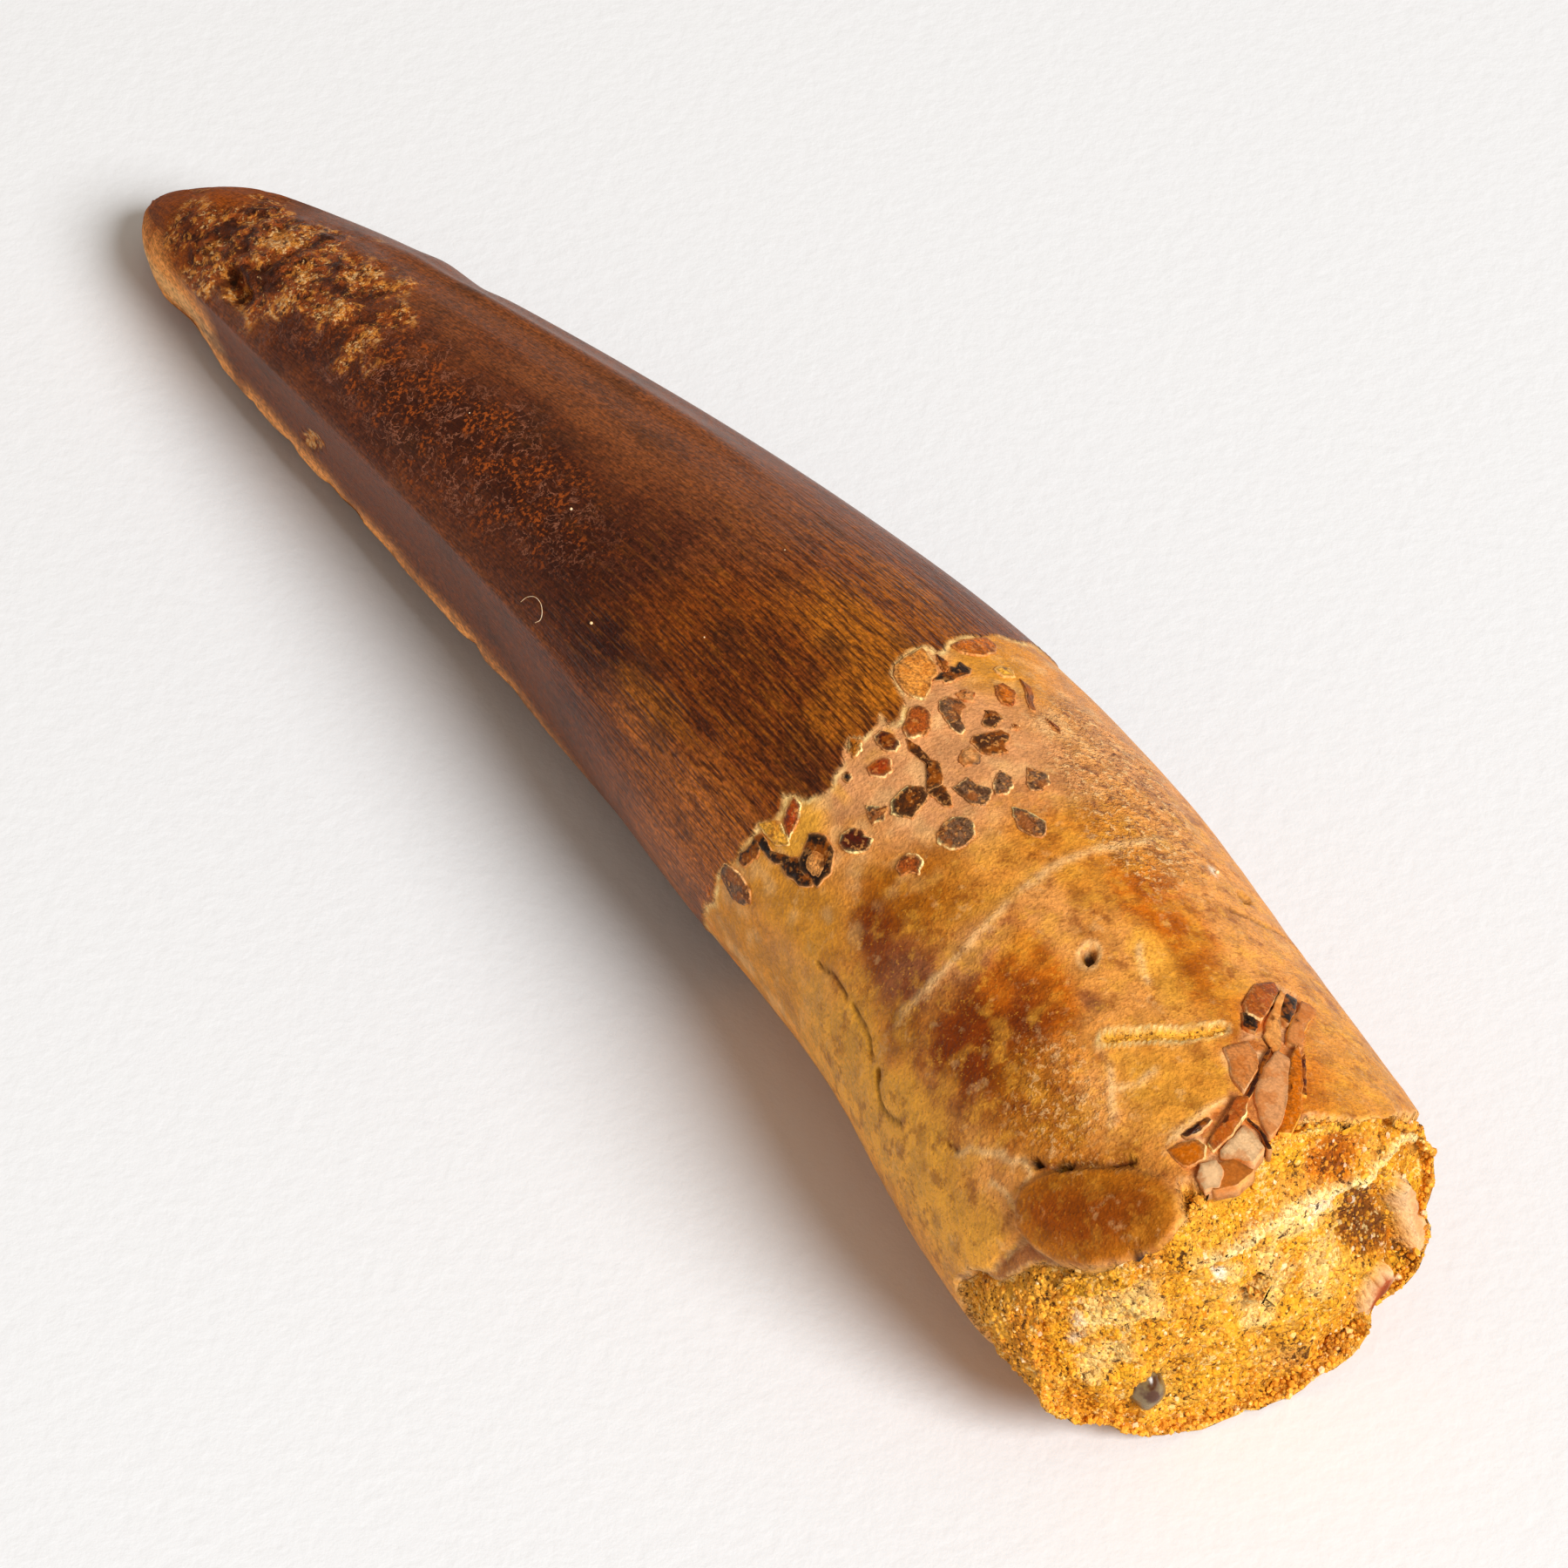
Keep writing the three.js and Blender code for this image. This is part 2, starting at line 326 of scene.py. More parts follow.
crown_outline = [(-9, -60), (71.6, -60), *ENAMEL_EDGE, (71.6, 60), (-9, 60)]
skin_outline = [(-9, -60), (103.4, -60), *SKIN_EDGE, (103.4, 60), (-9, 60)]
fray = 0.16 * rough(spot, 0.9, 3)
enamel = depth(place, crown_outline) + fray
skin = depth(place, skin_outline) + 0.25 * rough(spot, 1.4, 5)
print("share of the wall that is enamel:", round(float((enamel > 0).mean()), 2))

# %% [markdown]
# ## Relief of the crown
#
# The worn patch behind the tip has lost its enamel and is pitted like old varnish. The keel is nicked.
# Long shallow waves run down the crown, and a second faint ridge starts behind the middle. All relief
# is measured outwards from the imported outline, less a small inset that keeps it inside.

# %% Crown
INSET = 0.05
ENAMEL_STEP = 0.06  # how far the enamel stands out over the root


def oval(place, centre, half, turn=0.0):
    """Distance from an oval's middle, over its half axes: 1 on its edge. The turn is in degrees."""
    c, s = math.cos(math.radians(turn)), math.sin(math.radians(turn))
    d = place - np.array(centre)
    return np.hypot((d[..., 0] * c + d[..., 1] * s) / half[0], (d[..., 1] * c - d[..., 0] * s) / half[1])


crown = smooth(enamel, -0.16, 0.16)
worn = smooth(1.3 - oval(place, (15.5, -1.7), (12, 4.3), -3) + 0.6 * rough(spot, 2.2, 11), 0.0, 0.8)
scar = 1.1 - oval(place, (26.4, -11.9), (1.5, 0.8), 35) + 0.4 * rough(spot, 0.9, 13)
worn = np.maximum(worn, 0.8 * smooth(scar, 0, 0.3))
tip_pit = smooth(1.15 - oval(place, (14.8, -4.6), (2.3, 0.85), -22) + 0.35 * rough(spot, 0.9, 15), 0.1, 0.6)
keel_line = bell(around, KEEL, 5) * smooth(along, 5, 12) * (1 - smooth(along, 50, 64))
nicks = np.maximum(lumps(flow / [1.5, 6, 6], 1.0, 25) - 0.05, 0)
nicks = nicks + 0.7 * np.maximum(lumps(flow / [4.5, 8, 8], 1.0, 26) - 0.2, 0)
waves = 0.07 * lumps(flow / [26, 2.6, 2.6], 1.0, 17) + 0.04 * lumps(flow / [12, 1.1, 1.1], 1.0, 19)
notch = bell(along, 10.5, 2.2) * bell(around, KEEL, 14)
second_ridge = 0.3 * bell(angle, 61, 5) * smooth(along, 14, 26) * (1 - smooth(along, 44, 56))
knob = bell(angle, 38, 22) * (0.14 * bell(along, 20.6, 1.5) - 0.16 * bell(along, 24.2, 1.7))
crown_relief = (waves + second_ridge + knob + 0.05 * bell(enamel, 0, 0.3) * (enamel > 0)
                - worn * (0.14 + 0.2 * lumps(spot, 0.95, 21) + 0.16 * lumps(spot, 0.45, 23)) - 0.8 * tip_pit
                - keel_line * (0.05 + 0.45 * nicks) - 0.45 * notch)
print("worn share of the crown:", round(float(worn[enamel > 0].mean()), 3))

# %% [markdown]
# ## Relief of the neck and the root
#
# The filler at the neck was smoothed flush. The root carries the marks of its repair: a raised seam, a
# few cracks with open holes, a groove packed with coarse sand, a flake that stands proud, and a hollow
# where the wall is shattered. Below it, a thin under-layer reaches out past the skin like a ledge.

# %% Neck and root
SEAM = [(89.3, 6.6), (88.9, 2.0), (88.7, 0.3), (89.1, -1.5), (89.8, -4.2), (90.2, -6.0), (90.5, -8.5),
        (90.3, -10.2)]
VEINS = [[(99.0, -11.9), (99.6, -11.1), (101.0, -10.2), (102.5, -9.2), (103.4, -9.2), (103.5, -9.8)],
         [(100.2, -3.1), (101.7, -3.2), (102.8, -3.7), (104.6, -4.7)],
         [(103.0, -3.8), (103.6, -2.6), (103.4, -1.6)], [(95.9, 1.4), (96.6, 1.0), (98.5, 0.6)],
         [(101.9, -11.2), (102.8, -10.9), (103.9, -11.0)],
         [(104.3, 1.7), (105.8, 1.5), (106.9, 0.9), (107.0, -1.2), (107.3, -3.0)]]
CRACKS = [[(86.9, -12.6), (88.4, -12.7), (89.3, -12.95), (90.2, -13.35)],
          [(91.0, -13.5), (91.4, -14.1), (92.0, -14.6), (92.7, -14.85), (93.6, -14.5), (94.5, -14.15)],
          [(102.4, -9.2), (103.2, -8.8), (104.3, -8.0), (105.1, -6.9), (106.2, -5.9), (107.2, -4.9)],
          [(83.2, -12.9), (84.6, -12.5), (86.2, -12.7)], [(98.1, -12.1), (98.9, -11.8)],
          [(94.8, 7.6), (95.7, 9.5), (96.1, 12.4), (97.4, 15.0)],
          [(105.4, -11.8), (105.1, -13.0), (104.6, -14.9)]]
# holes: middle, half sizes and turn in degrees
HOLES = [((95.1, -0.95), (0.55, 0.4), -25), ((103.2, -8.75), (0.4, 0.2), 20),
         ((104.5, -7.8), (0.6, 0.28), 40), ((106.6, -5.3), (0.66, 0.16), 45),
         ((111.5, -7.4), (0.5, 0.3), 25), ((91.2, -13.7), (0.26, 0.22), 0), ((93.6, 9.7), (0.5, 0.4), 0)]
GROOVE = [(100.15, -2.55), (101.2, -0.9), (102.2, 0.5), (102.8, 2.4)]
FLAKE = [(103.6, -9.9), (104.4, -8.2), (105.8, -6.7), (107.2, -5.2), (108.9, -4.2), (110.2, -4.1),
         (111.4, -4.5), (112.0, -5.4), (112.0, -6.4), (111.6, -7.2), (110.9, -8.3), (109.6, -10.0),
         (108.1, -11.2), (106.4, -11.8), (104.9, -11.5), (103.9, -10.8)]
HOLLOW = [(101.5, 4.2), (100.4, 6.0), (100.5, 7.2), (101.4, 8.2), (102.7, 8.4), (104.4, 6.5), (106.8, 4.7),
          (109.0, 3.4), (110.3, 2.0), (111.0, 0.3), (111.2, -1.9), (110.9, -3.0), (109.5, -3.2),
          (107.8, -3.3), (107.3, -2.2), (107.2, -1.2), (106.9, 0.3), (105.5, 1.5), (104.0, 1.7),
          (103.5, 3.0)]
LEDGE = [(105.5, -11.7), (109.6, -11.0), (109.6, -13), (106.6, -16), (103.0, -19), (101.9, -18.4),
         (103.0, -16.5), (104.6, -15.0), (105.1, -13.1)]

wander = 0.09 * np.stack([lumps(spot, 0.7, 31), lumps(spot, 0.7, 33)], -1)
seam_gap = line_gap(place + 2 * wander, SEAM)
vein_gap = np.minimum.reduce([line_gap(place + 2 * wander, path) for path in VEINS])
crack_gap = np.minimum.reduce([line_gap(place + wander, path) for path in CRACKS])
holes = np.maximum.reduce([smooth(1.25 - oval(place + wander, *hole), 0, 0.5) for hole in HOLES])
groove_gap = line_gap(place + wander, GROOVE)
groove = 1 - smooth(groove_gap, 0.22, 0.38)
flake = depth(place, FLAKE) + 0.08 * lumps(spot, 0.8, 35)
hollow = smooth(depth(place, HOLLOW), -0.1, 0.2)
ledge = smooth(depth(place, LEDGE) + fray, -0.08, 0.1)
pitted = smooth(1.35 - oval(place, (85.5, 6.2), (8.5, 3.6), -8) + 0.35 * rough(spot, 2.6, 37), 0.1, 0.7)
second_patch = 1.2 - oval(place, (101.5, -6.0), (5, 3.4)) + 0.5 * rough(spot, 2, 39)
pitted = np.maximum(pitted, 0.6 * smooth(second_patch, 0.1, 0.8))
root = smooth(along, 80, 88)
root_relief = (0.03 * rough(spot, 3.0, 41)
               + root * (0.09 * lumps(spot, 6.5, 43) + 0.04 * rough(spot, 1.5, 45))
               + pitted * 0.09 * rough(spot, 0.75, 47)
               + 0.06 * bell(seam_gap, 0, 0.24) + 0.03 * smooth(place[..., 0] - 89.5, -0.6, 0.6)
               + 0.04 * bell(vein_gap, 0, 0.2) - 0.14 * bell(crack_gap, 0, 0.14) - 0.6 * holes
               + 0.05 * bell(groove_gap, 0.46, 0.13) - groove * (0.18 + 0.08 * lumps(spot, 0.5, 51))
               + 0.42 * smooth(flake, -0.04, 0.16) + 0.1 * smooth(flake, 0, 1.8) - 0.12 * hollow
               - 0.38 * ledge)
print("holes cover, points:", int((holes > 0.5).sum()))

# %% [markdown]
# ## Relief of the sand and the break
#
# Sand beyond the skin's edge lies lower and is coarse. On the break, a pale crest runs across below the
# top, the sand above it slopes back to the rim, and below it the face is a little sunken. A brown bed
# near the bowed side is sunken more.

# %% Sand and break
CREST_Y = np.array([-13, -8.4, -6.1, -4.0, -1.2, 0.6, 2.6, 5.1, 7.5, 10])
CREST_Z = np.array([13.4, 15.6, 15.3, 15.0, 14.9, 15.0, 14.6, 14.2, 13.9, 13.2])
BONE_SHARD = [(8.0, 9.8), (8.6, 10.6), (9.4, 9.0), (10.0, 6.8), (10.2, 4.6), (9.2, 4.3), (8.7, 6.8)]
# bites in the rim: angle and spread in degrees, depth in millimetres
BITES = [(-44, 7, 1.7), (18, 5, 0.4), (-12, 5, 0.55), (-92, 8, 0.5), (-128, 5, 0.5), (196, 6, 0.6),
         (-70, 4, 0.4)]
BROWN_BED = [(4.3, 13.6), (5.6, 14.1), (7.3, 12.2), (8.1, 9.9), (8.7, 6.8), (8.9, 4.8), (7.2, 5.8),
             (5.6, 7.2), (4.4, 8.9), (3.6, 11.2)]
CREAM_BED = [(-5.6, 14.6), (-4.7, 16.0), (-2.0, 15.7), (0.7, 15.1), (3.2, 14.6), (3.8, 12.4), (1.5, 11.6),
             (-2.4, 13.6)]

sand = 1 - smooth(skin, -0.1, 0.1)
step = bell(skin, 0, 1.1)
sand_relief = -0.25 - 0.4 * step + 0.22 * rough(spot, 1.3, 61) + 0.14 * lumps(spot, 0.45, 63)
skin_relief = crown * crown_relief + (1 - crown) * (root_relief - ENAMEL_STEP)
relief = skin_relief * (1 - sand) + sand * sand_relief - INSET

section = face[..., 1:]
face_y, face_z = face[..., 1], face[..., 2]
above_crest = face_z - through(CREST_Y, CREST_Z, face_y) - 0.45 * rough(face, 2.2, 65)
brown_bed = depth(section, BROWN_BED) + 0.4 * rough(face, 1.6, 67)
rim_chip = 1.3 - oval(section, (6.2, 4.6), (1.1, 0.6), 50)
bone = np.maximum(depth(section, BONE_SHARD) + 0.12 * lumps(face, 0.7, 66), rim_chip)
cream_bed = depth(section, CREAM_BED) + 0.6 * rough(face, 1.3, 68)
crumbs = 0.62 * rough(face, 2.6, 69) + 0.26 * lumps(face, 0.95, 70) + 0.2 * lumps(face, 0.45, 71)
face_relief = (-0.4 + 0.35 * bell(above_crest, 0, 0.4) - 0.75 * smooth(-above_crest, 0.05, 1.1)
               - 0.35 * smooth(above_crest, 0.5, 2.6)
               - 0.5 * smooth(brown_bed, -0.2, 0.4) + 0.95 * smooth(bone, -0.05, 0.15)
               + (1 - 0.7 * smooth(bone, -0.1, 0.1)) * crumbs)
all_relief = np.concatenate([relief, face_relief])


def outward(points):
    """Outward directions of a grid whose columns close in a ring: the cross product of the step around
    with the step along, made one long."""
    sideways = np.roll(points, -1, 1) - np.roll(points, 1, 1)
    normal = np.cross(sideways, np.gradient(points, axis=0))
    return normal / np.maximum(np.linalg.norm(normal, axis=-1, keepdims=True), 1e-9)


def inside_box(points):
    """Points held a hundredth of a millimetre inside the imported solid's box, and on the table or above."""
    low, high = (np.array(corner) / MM for corner in cad_box)
    return np.clip(points, low + [0.01, 0.01, 0], high - 0.01)


print("relief, mm:", round(float(all_relief.min()), 2), "to", round(float(all_relief.max()), 2))

# %% [markdown]
# The relief goes outwards from the grid. Then the broken rim is bitten into in seven places, and its
# corner on the keel's side is worn round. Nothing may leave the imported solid's box.

# %% Skin points
CUT_CORNER = (168, 26)  # degrees: the worn corner's middle and its spread
CUT_REACH, CUT_IN, CUT_BACK = 7, 1.7, 1.3  # how far along it starts, how deep it cuts in, and back

normals = outward(grid)
skin_points = grid + normals * all_relief[..., None]
bite = sum(deep * bell((angles - at + 180) % 360, 180, spread) for at, spread, deep in BITES)
bite = bite + 0.45 * np.maximum(rough(grid[WALL_ROWS - 1], 1.8, 73), 0)
from_rim = np.concatenate([rim[None] - along, (1 - shares)[:, None] * WIDTH[-1] / 2 + 0 * angles])
centre = grid[-1].mean(0) * [0, 1, 1]
radial = skin_points * [0, 1, 1] - centre
radial /= np.maximum(np.linalg.norm(radial, axis=-1, keepdims=True), 1e-6)
near_rim = [np.clip(1 - (rim[None] - along) / CUT_REACH, 0, 1) ** 2, (shares ** 4)[:, None] + 0 * angles]
corner = bell(np.mod(angles, 360), *CUT_CORNER) * np.concatenate(near_rim)
skin_points -= radial * (bite * bell(from_rim, 0, 1.1) + CUT_IN * corner)[..., None]
skin_points[..., 0] -= CUT_BACK * corner
skin_points = inside_box(skin_points)
tip = np.array([INSET - MIDDLE_ALONG, -MIDDLE_ACROSS, skin_points[0, :, 2].mean()])
middle = skin_points[-1].mean(0)
print("skin, mm:", np.ptp(skin_points.reshape(-1, 3), axis=0).round(2))

# %% [markdown]
# ## The skin as a mesh
#
# The points, the quads between them and the two fans that close the ends go in as whole arrays. The UV
# map is the unrolled skin, true to scale, with the break laid beside it, so that a texture baked on it
# is equally sharp everywhere.

# %% Mesh helpers
FIELD_KINDS = {1: ("FLOAT", "value"), 3: ("FLOAT_VECTOR", "vector"), 4: ("FLOAT_COLOR", "color")}


def add_mesh(name, points, faces, uvs=None, **fields):
    """A mesh object from whole arrays: its points in millimetres, its faces as rows of point numbers, and
    named fields that hold one number, one direction or one colour for each point."""
    mesh = bpy.data.meshes.new(name)
    mesh.from_pydata([], [], [])
    flat = [np.asarray(f) for f in faces]
    sizes = np.concatenate([np.full(len(f), f.shape[1]) for f in flat])
    corners = np.concatenate([f.ravel() for f in flat])
    mesh.vertices.add(len(points))
    mesh.vertices.foreach_set("co", (np.asarray(points) * MM).astype(np.float32).ravel())
    mesh.loops.add(len(corners))
    mesh.loops.foreach_set("vertex_index", corners.astype(np.int32))
    mesh.polygons.add(len(sizes))
    mesh.polygons.foreach_set("loop_start", (np.cumsum(sizes) - sizes).astype(np.int32))
    mesh.polygons.foreach_set("use_smooth", np.ones(len(sizes), bool))
    if uvs is not None:
        mesh.uv_layers.new(name="OFBake").data.foreach_set("uv", uvs.astype(np.float32).ravel())
    for field, values in fields.items():
        values = np.asarray(values, np.float32)
        numbers = 1 if values.ndim == 1 else values.shape[1]
        kind, key = FIELD_KINDS[numbers]
        mesh.attributes.new(field, kind, "POINT").data.foreach_set(key, values.ravel())
    mesh.update(calc_edges=True)
    mesh.validate()
    piece = bpy.data.objects.new(name, mesh)
    bpy.context.scene.collection.objects.link(piece)
    return piece


def ring_faces(rows, columns, first=0):
    """Quads of a grid whose columns close in a ring, wound so that they face outwards, with the corner
    columns counted past the seam for the map."""
    r, c = np.meshgrid(np.arange(rows - 1), np.arange(columns), indexing="ij")
    corners = np.stack([np.stack([r, c]), np.stack([r, c + 1]), np.stack([r + 1, c + 1]),
                        np.stack([r + 1, c])], -1)
    corners = corners.reshape(2, -1, 4)
    return first + corners[0] * columns + corners[1] % columns, corners


def end_fans(rows, columns, first=0):
    """Triangles that close the first and the last ring of a grid to one point each, wound outwards. The
    two points come right after the grid's own."""
    c, after = np.arange(columns), (np.arange(columns) + 1) % columns
    pole, last = np.full(columns, first + rows * columns), first + (rows - 1) * columns
    return [np.stack([pole, first + after, first + c], 1), np.stack([pole + 1, last + c, last + after], 1)]


def with_end_points(rings):
    """The points of a grid, and after them the means of its first and of its last ring."""
    return np.concatenate([rings.reshape(-1, 3), rings[0].mean(0)[None], rings[-1].mean(0)[None]])


def opaque(colours):
    """Colours with the fourth number that a colour field asks for, which is 1."""
    return np.concatenate([colours, np.ones((*colours.shape[:-1], 1))], -1)


print("a grid of 3 rings of 4 points has", len(ring_faces(3, 4)[0]), "quads and two fans")

# %% [markdown]
# On its square sheet the wall is unrolled, with the same scale all over, and the break lies beside it.

# %% Faces and map of the skin
SHEET = 118.0  # side of the square that the unrolled skin is laid out in
SHEET_MARGIN, BREAK_AT = 2, (16, 96)  # where the skin begins on it, and the middle of the break

rows = len(skin_points)
quads, (corner_row, corner_column) = ring_faces(rows, COLUMNS)
points = np.concatenate([skin_points.reshape(-1, 3), tip[None], middle[None]])

ring = np.append(angles, KEEL)
width_row = np.append(through(STATION, WIDTH, steps), WIDTH[-1] * np.ones(FACE_ROWS))
radius_row = width_row * (1 + THICKNESS_RATIO) / 4
wall_u = np.append(steps, LENGTH + 0 * shares)


def map_place(r, c):
    """Place on the square sheet: the wall unrolled true to scale, the break flat beside it."""
    turns = np.radians(ring[c] - ring[0])
    u = np.where(r < WALL_ROWS, wall_u[r] + SHEET_MARGIN, 0)
    v = radius_row[r] * turns + SHEET_MARGIN
    disc = shares[np.clip(r - WALL_ROWS, 0, FACE_ROWS - 1)] * WIDTH[-1] / 2
    facing = np.radians(ring[c])
    on_face = r >= WALL_ROWS
    u = np.where(on_face, BREAK_AT[0] + disc * np.cos(facing), u)
    v = np.where(on_face, BREAK_AT[1] + disc * THICKNESS_RATIO * np.sin(facing), v)
    return np.stack([u, v], -1) / SHEET


columns_c = np.arange(COLUMNS)
crossing = corner_row[:, :1] == WALL_ROWS - 1  # the quads that join the wall to the break
rows_for_map = np.where(crossing, WALL_ROWS, corner_row)
first_row, last_row = 0 * columns_c, 0 * columns_c + rows - 1
tip_map = np.stack([map_place(first_row, columns_c), map_place(first_row, columns_c + 1),
                    map_place(first_row, columns_c)], 1)
tip_map[:, 0, 0] = SHEET_MARGIN / SHEET
face_map = np.stack([np.broadcast_to(np.array(BREAK_AT) / SHEET, (COLUMNS, 2)),
                     map_place(last_row, columns_c), map_place(last_row, columns_c + 1)], 1)
wall_map = map_place(rows_for_map, corner_column)
uvs = np.concatenate([part.reshape(-1, 2) for part in (wall_map, tip_map, face_map)])
print("points:", len(points), "quads:", len(quads))

# %% [markdown]
# ## Stains
#
# Mineral water coloured the tooth over millions of years, so its colours lie in soft clouds with frayed
# edges, not in clean shapes. Each stain is an oval cloud of one named colour, laid on in order, and
# noise frays its edge. A few clouds and marks are painted highlights and painted shade, not stains; each
# is named where it is laid. Fine streaks and specks come later, in the material.

# %% Stains on the skin
PALETTE = {
    "chocolate": (110, 54, 22), "umber": (130, 70, 32), "core": (54, 18, 6), "cocoa": (84, 38, 18),
    "amber": (132, 62, 6), "gold_brown": (180, 104, 18), "band": (114, 54, 14),
    # edge is the colour of the painted highlights along the keel and round the tip's rim.
    "neck_tan": (184, 102, 34), "edge": (255, 168, 84), "rust": (168, 80, 24), "gold": (234, 150, 60),
    "dome": (168, 80, 0), "filler": (222, 154, 90), "ochre": (220, 146, 44), "olive": (172, 96, 8),
    "honey": (220, 140, 44), "russet": (130, 52, 0), "burnt": (196, 100, 4), "plum": (146, 84, 48),
    "tan": (232, 156, 80), "pale": (250, 200, 134), "sand": (233, 163, 36), "cream": (255, 224, 150),
    "brown": (190, 106, 14), "black": (36, 20, 12), "slate": (116, 82, 56), "dark": (74, 38, 14),
    "red": (160, 60, 14), "wine": (80, 24, 8), "yellow": (246, 174, 58), "white": (255, 236, 204),
    "web": (176, 110, 80), "rose": (220, 152, 96), "sienna": (248, 166, 66), "smoke": (128, 108, 70),
    "glass": (206, 128, 66), "ivory": (238, 192, 140),
}


def linear(colour):
    """Screen colour from 0 to 255 as light from 0 to 1: the usual curve, close to the power of 2.4."""
    c = np.asarray(colour, float) / 255
    return np.where(c <= 0.04045, c / 12.92, ((c + 0.055) / 1.055) ** 2.4)


TINT = {name: linear(colour) for name, colour in PALETTE.items()}


def lay(colours, name, amount):
    """Colours mixed with one named colour, by an amount from 0 to 1 at each point."""
    return colours + np.clip(amount, 0, 1)[..., None] * (TINT[name] - colours)


def lay_all(colours, layers):
    """Named colours laid on in order, each by its own amount."""
    for name, amount in layers:
        colours = lay(colours, name, amount)
    return colours


def cloud(centre, half, turn=0.0, frays=0.45, seed=0):
    """Soft oval stain: 1 in the middle, falling to 0 past the edge, the edge frayed by noise."""
    return smooth(1.4 - oval(place, centre, half, turn) + frays * rough(spot, 3.0, 200 + seed)
                  + 0.16 * feathers, 0.0, 0.9)


def lay_clouds(colours, table, frays, first_seed):
    """Clouds laid on one after another: each has its colour, middle, half sizes, turn and strength."""
    for index, (name, centre, half, turn, amount) in enumerate(table):
        colours = lay(colours, name, amount * cloud(centre, half, turn, frays, first_seed + index))
    return colours


feathers = rough(spot, 0.5, 199)
print("colours:", len(PALETTE))

# %% [markdown]
# The crown is brown, darkest along a core beside its middle and amber near the neck. Its keel and its tip
# are worn thin and look paler, and along the keel's edge and round the tip's lower rim a painted
# highlight stands for the light that shines through the thin enamel.

# %% Stains of the crown
CROWN_STAINS = [
    ("umber", (42, 3.4), (44, 3.4), 0, 0.8), ("umber", (60, 13), (60, 7), 0, 0.6),
    ("cocoa", (40, -6.0), (23, 5.4), -3, 0.95), ("cocoa", (57, -6.6), (9, 4.2), -8, 0.9),
    ("core", (28, -4.2), (9, 1.7), 1, 0.45), ("core", (41, -4.6), (12, 2.4), 1, 0.6),
    ("core", (52, -7.0), (9, 2.3), -14, 0.6), ("core", (60.5, -8.6), (5.5, 1.7), 0, 0.75),
    ("umber", (42, 0.6), (10, 1.0), 3, 0.8), ("amber", (69, -2), (10, 9), 0, 0.9),
    ("gold_brown", (69, 0.4), (6.5, 2.4), 0, 0.7), ("gold_brown", (66, 4.6), (7, 1.4), 0, 0.4),
    ("core", (67, -5.2), (6.5, 2.4), 0, 0.45), ("core", (74, -6.2), (3.2, 1.6), 0, 0.5),
    ("gold_brown", (72.5, -3.0), (2.4, 2.6), 0, 0.5), ("neck_tan", (69, -15), (9.5, 4.8), 0, 1.0),
    ("gold_brown", (64, -9.6), (4, 0.8), 0, 0.5), ("umber", (57, 2.0), (6, 2.4), 0, 0.5)]
drift = rough(spot, 7.0, 81)
speckled = lumps(spot, 0.8, 82)
enamel_stain = lay(np.broadcast_to(TINT["chocolate"], spot.shape), "umber",
                   0.3 + 0.5 * drift + 0.25 * speckled)
enamel_stain = lay_clouds(enamel_stain, CROWN_STAINS, 0.6, 0)
core = cloud((36, -4.9), (18, 3.5), -3, seed=40) * (1 - smooth(along, 46, 62))
past_ridge = smooth(around, BAND - 5, BAND + 1) * (1 - smooth(along, 58, 74)) * smooth(along, 9, 15)
enamel_stain = lay_all(enamel_stain, [
    ("band", 0.92 * past_ridge * (1 - smooth(around, 230, 260))),
    # A lighter line along the fold at the band's edge: a painted highlight where the fold catches the light.
    ("umber", 0.5 * bell(around, BAND, 2.5) * smooth(along, 10, 20) * (1 - smooth(along, 50, 70))),
])
# The edge colour along the keel is partly the worn keel's own paler enamel and partly a painted highlight
# along its edge.
keel_highlight = bell(around, KEEL - 1, np.interp(along, [8, 30, 60], [8, 5.5, 4])) * smooth(along, 6, 12)
keel_highlight *= smooth(lumps(flow / [2.6, 5, 5], 1.0, 27), -0.9, 0.3) * (1 - smooth(along, 40, 62))
enamel_stain = lay_all(enamel_stain, [
    ("edge", 1.25 * keel_highlight),
    ("dome", 0.9 * (1 - smooth(along + 0.8 * drift, 7, 11))),
    # Round the tip's lower rim the edge and pale clouds are partly the worn tip's own paler colour and
    # partly a painted rim highlight, for the light that shines through the thin enamel.
    ("edge", 1.0 * cloud((7.0, -6.6), (6.5, 2.1), -20, 0.35, 30)),
    ("pale", 0.6 * cloud((7.0, -7.5), (7.0, 1.0), -20, 0.35, 31)),
    ("rust", 0.5 * worn),
    # The pit behind the tip is painted black: painted shade of its inside.
    ("black", 0.95 * tip_pit),
])
print("mean of the crown:", TINT["chocolate"].round(3), "to", enamel_stain[enamel > 0].mean(0).round(3))
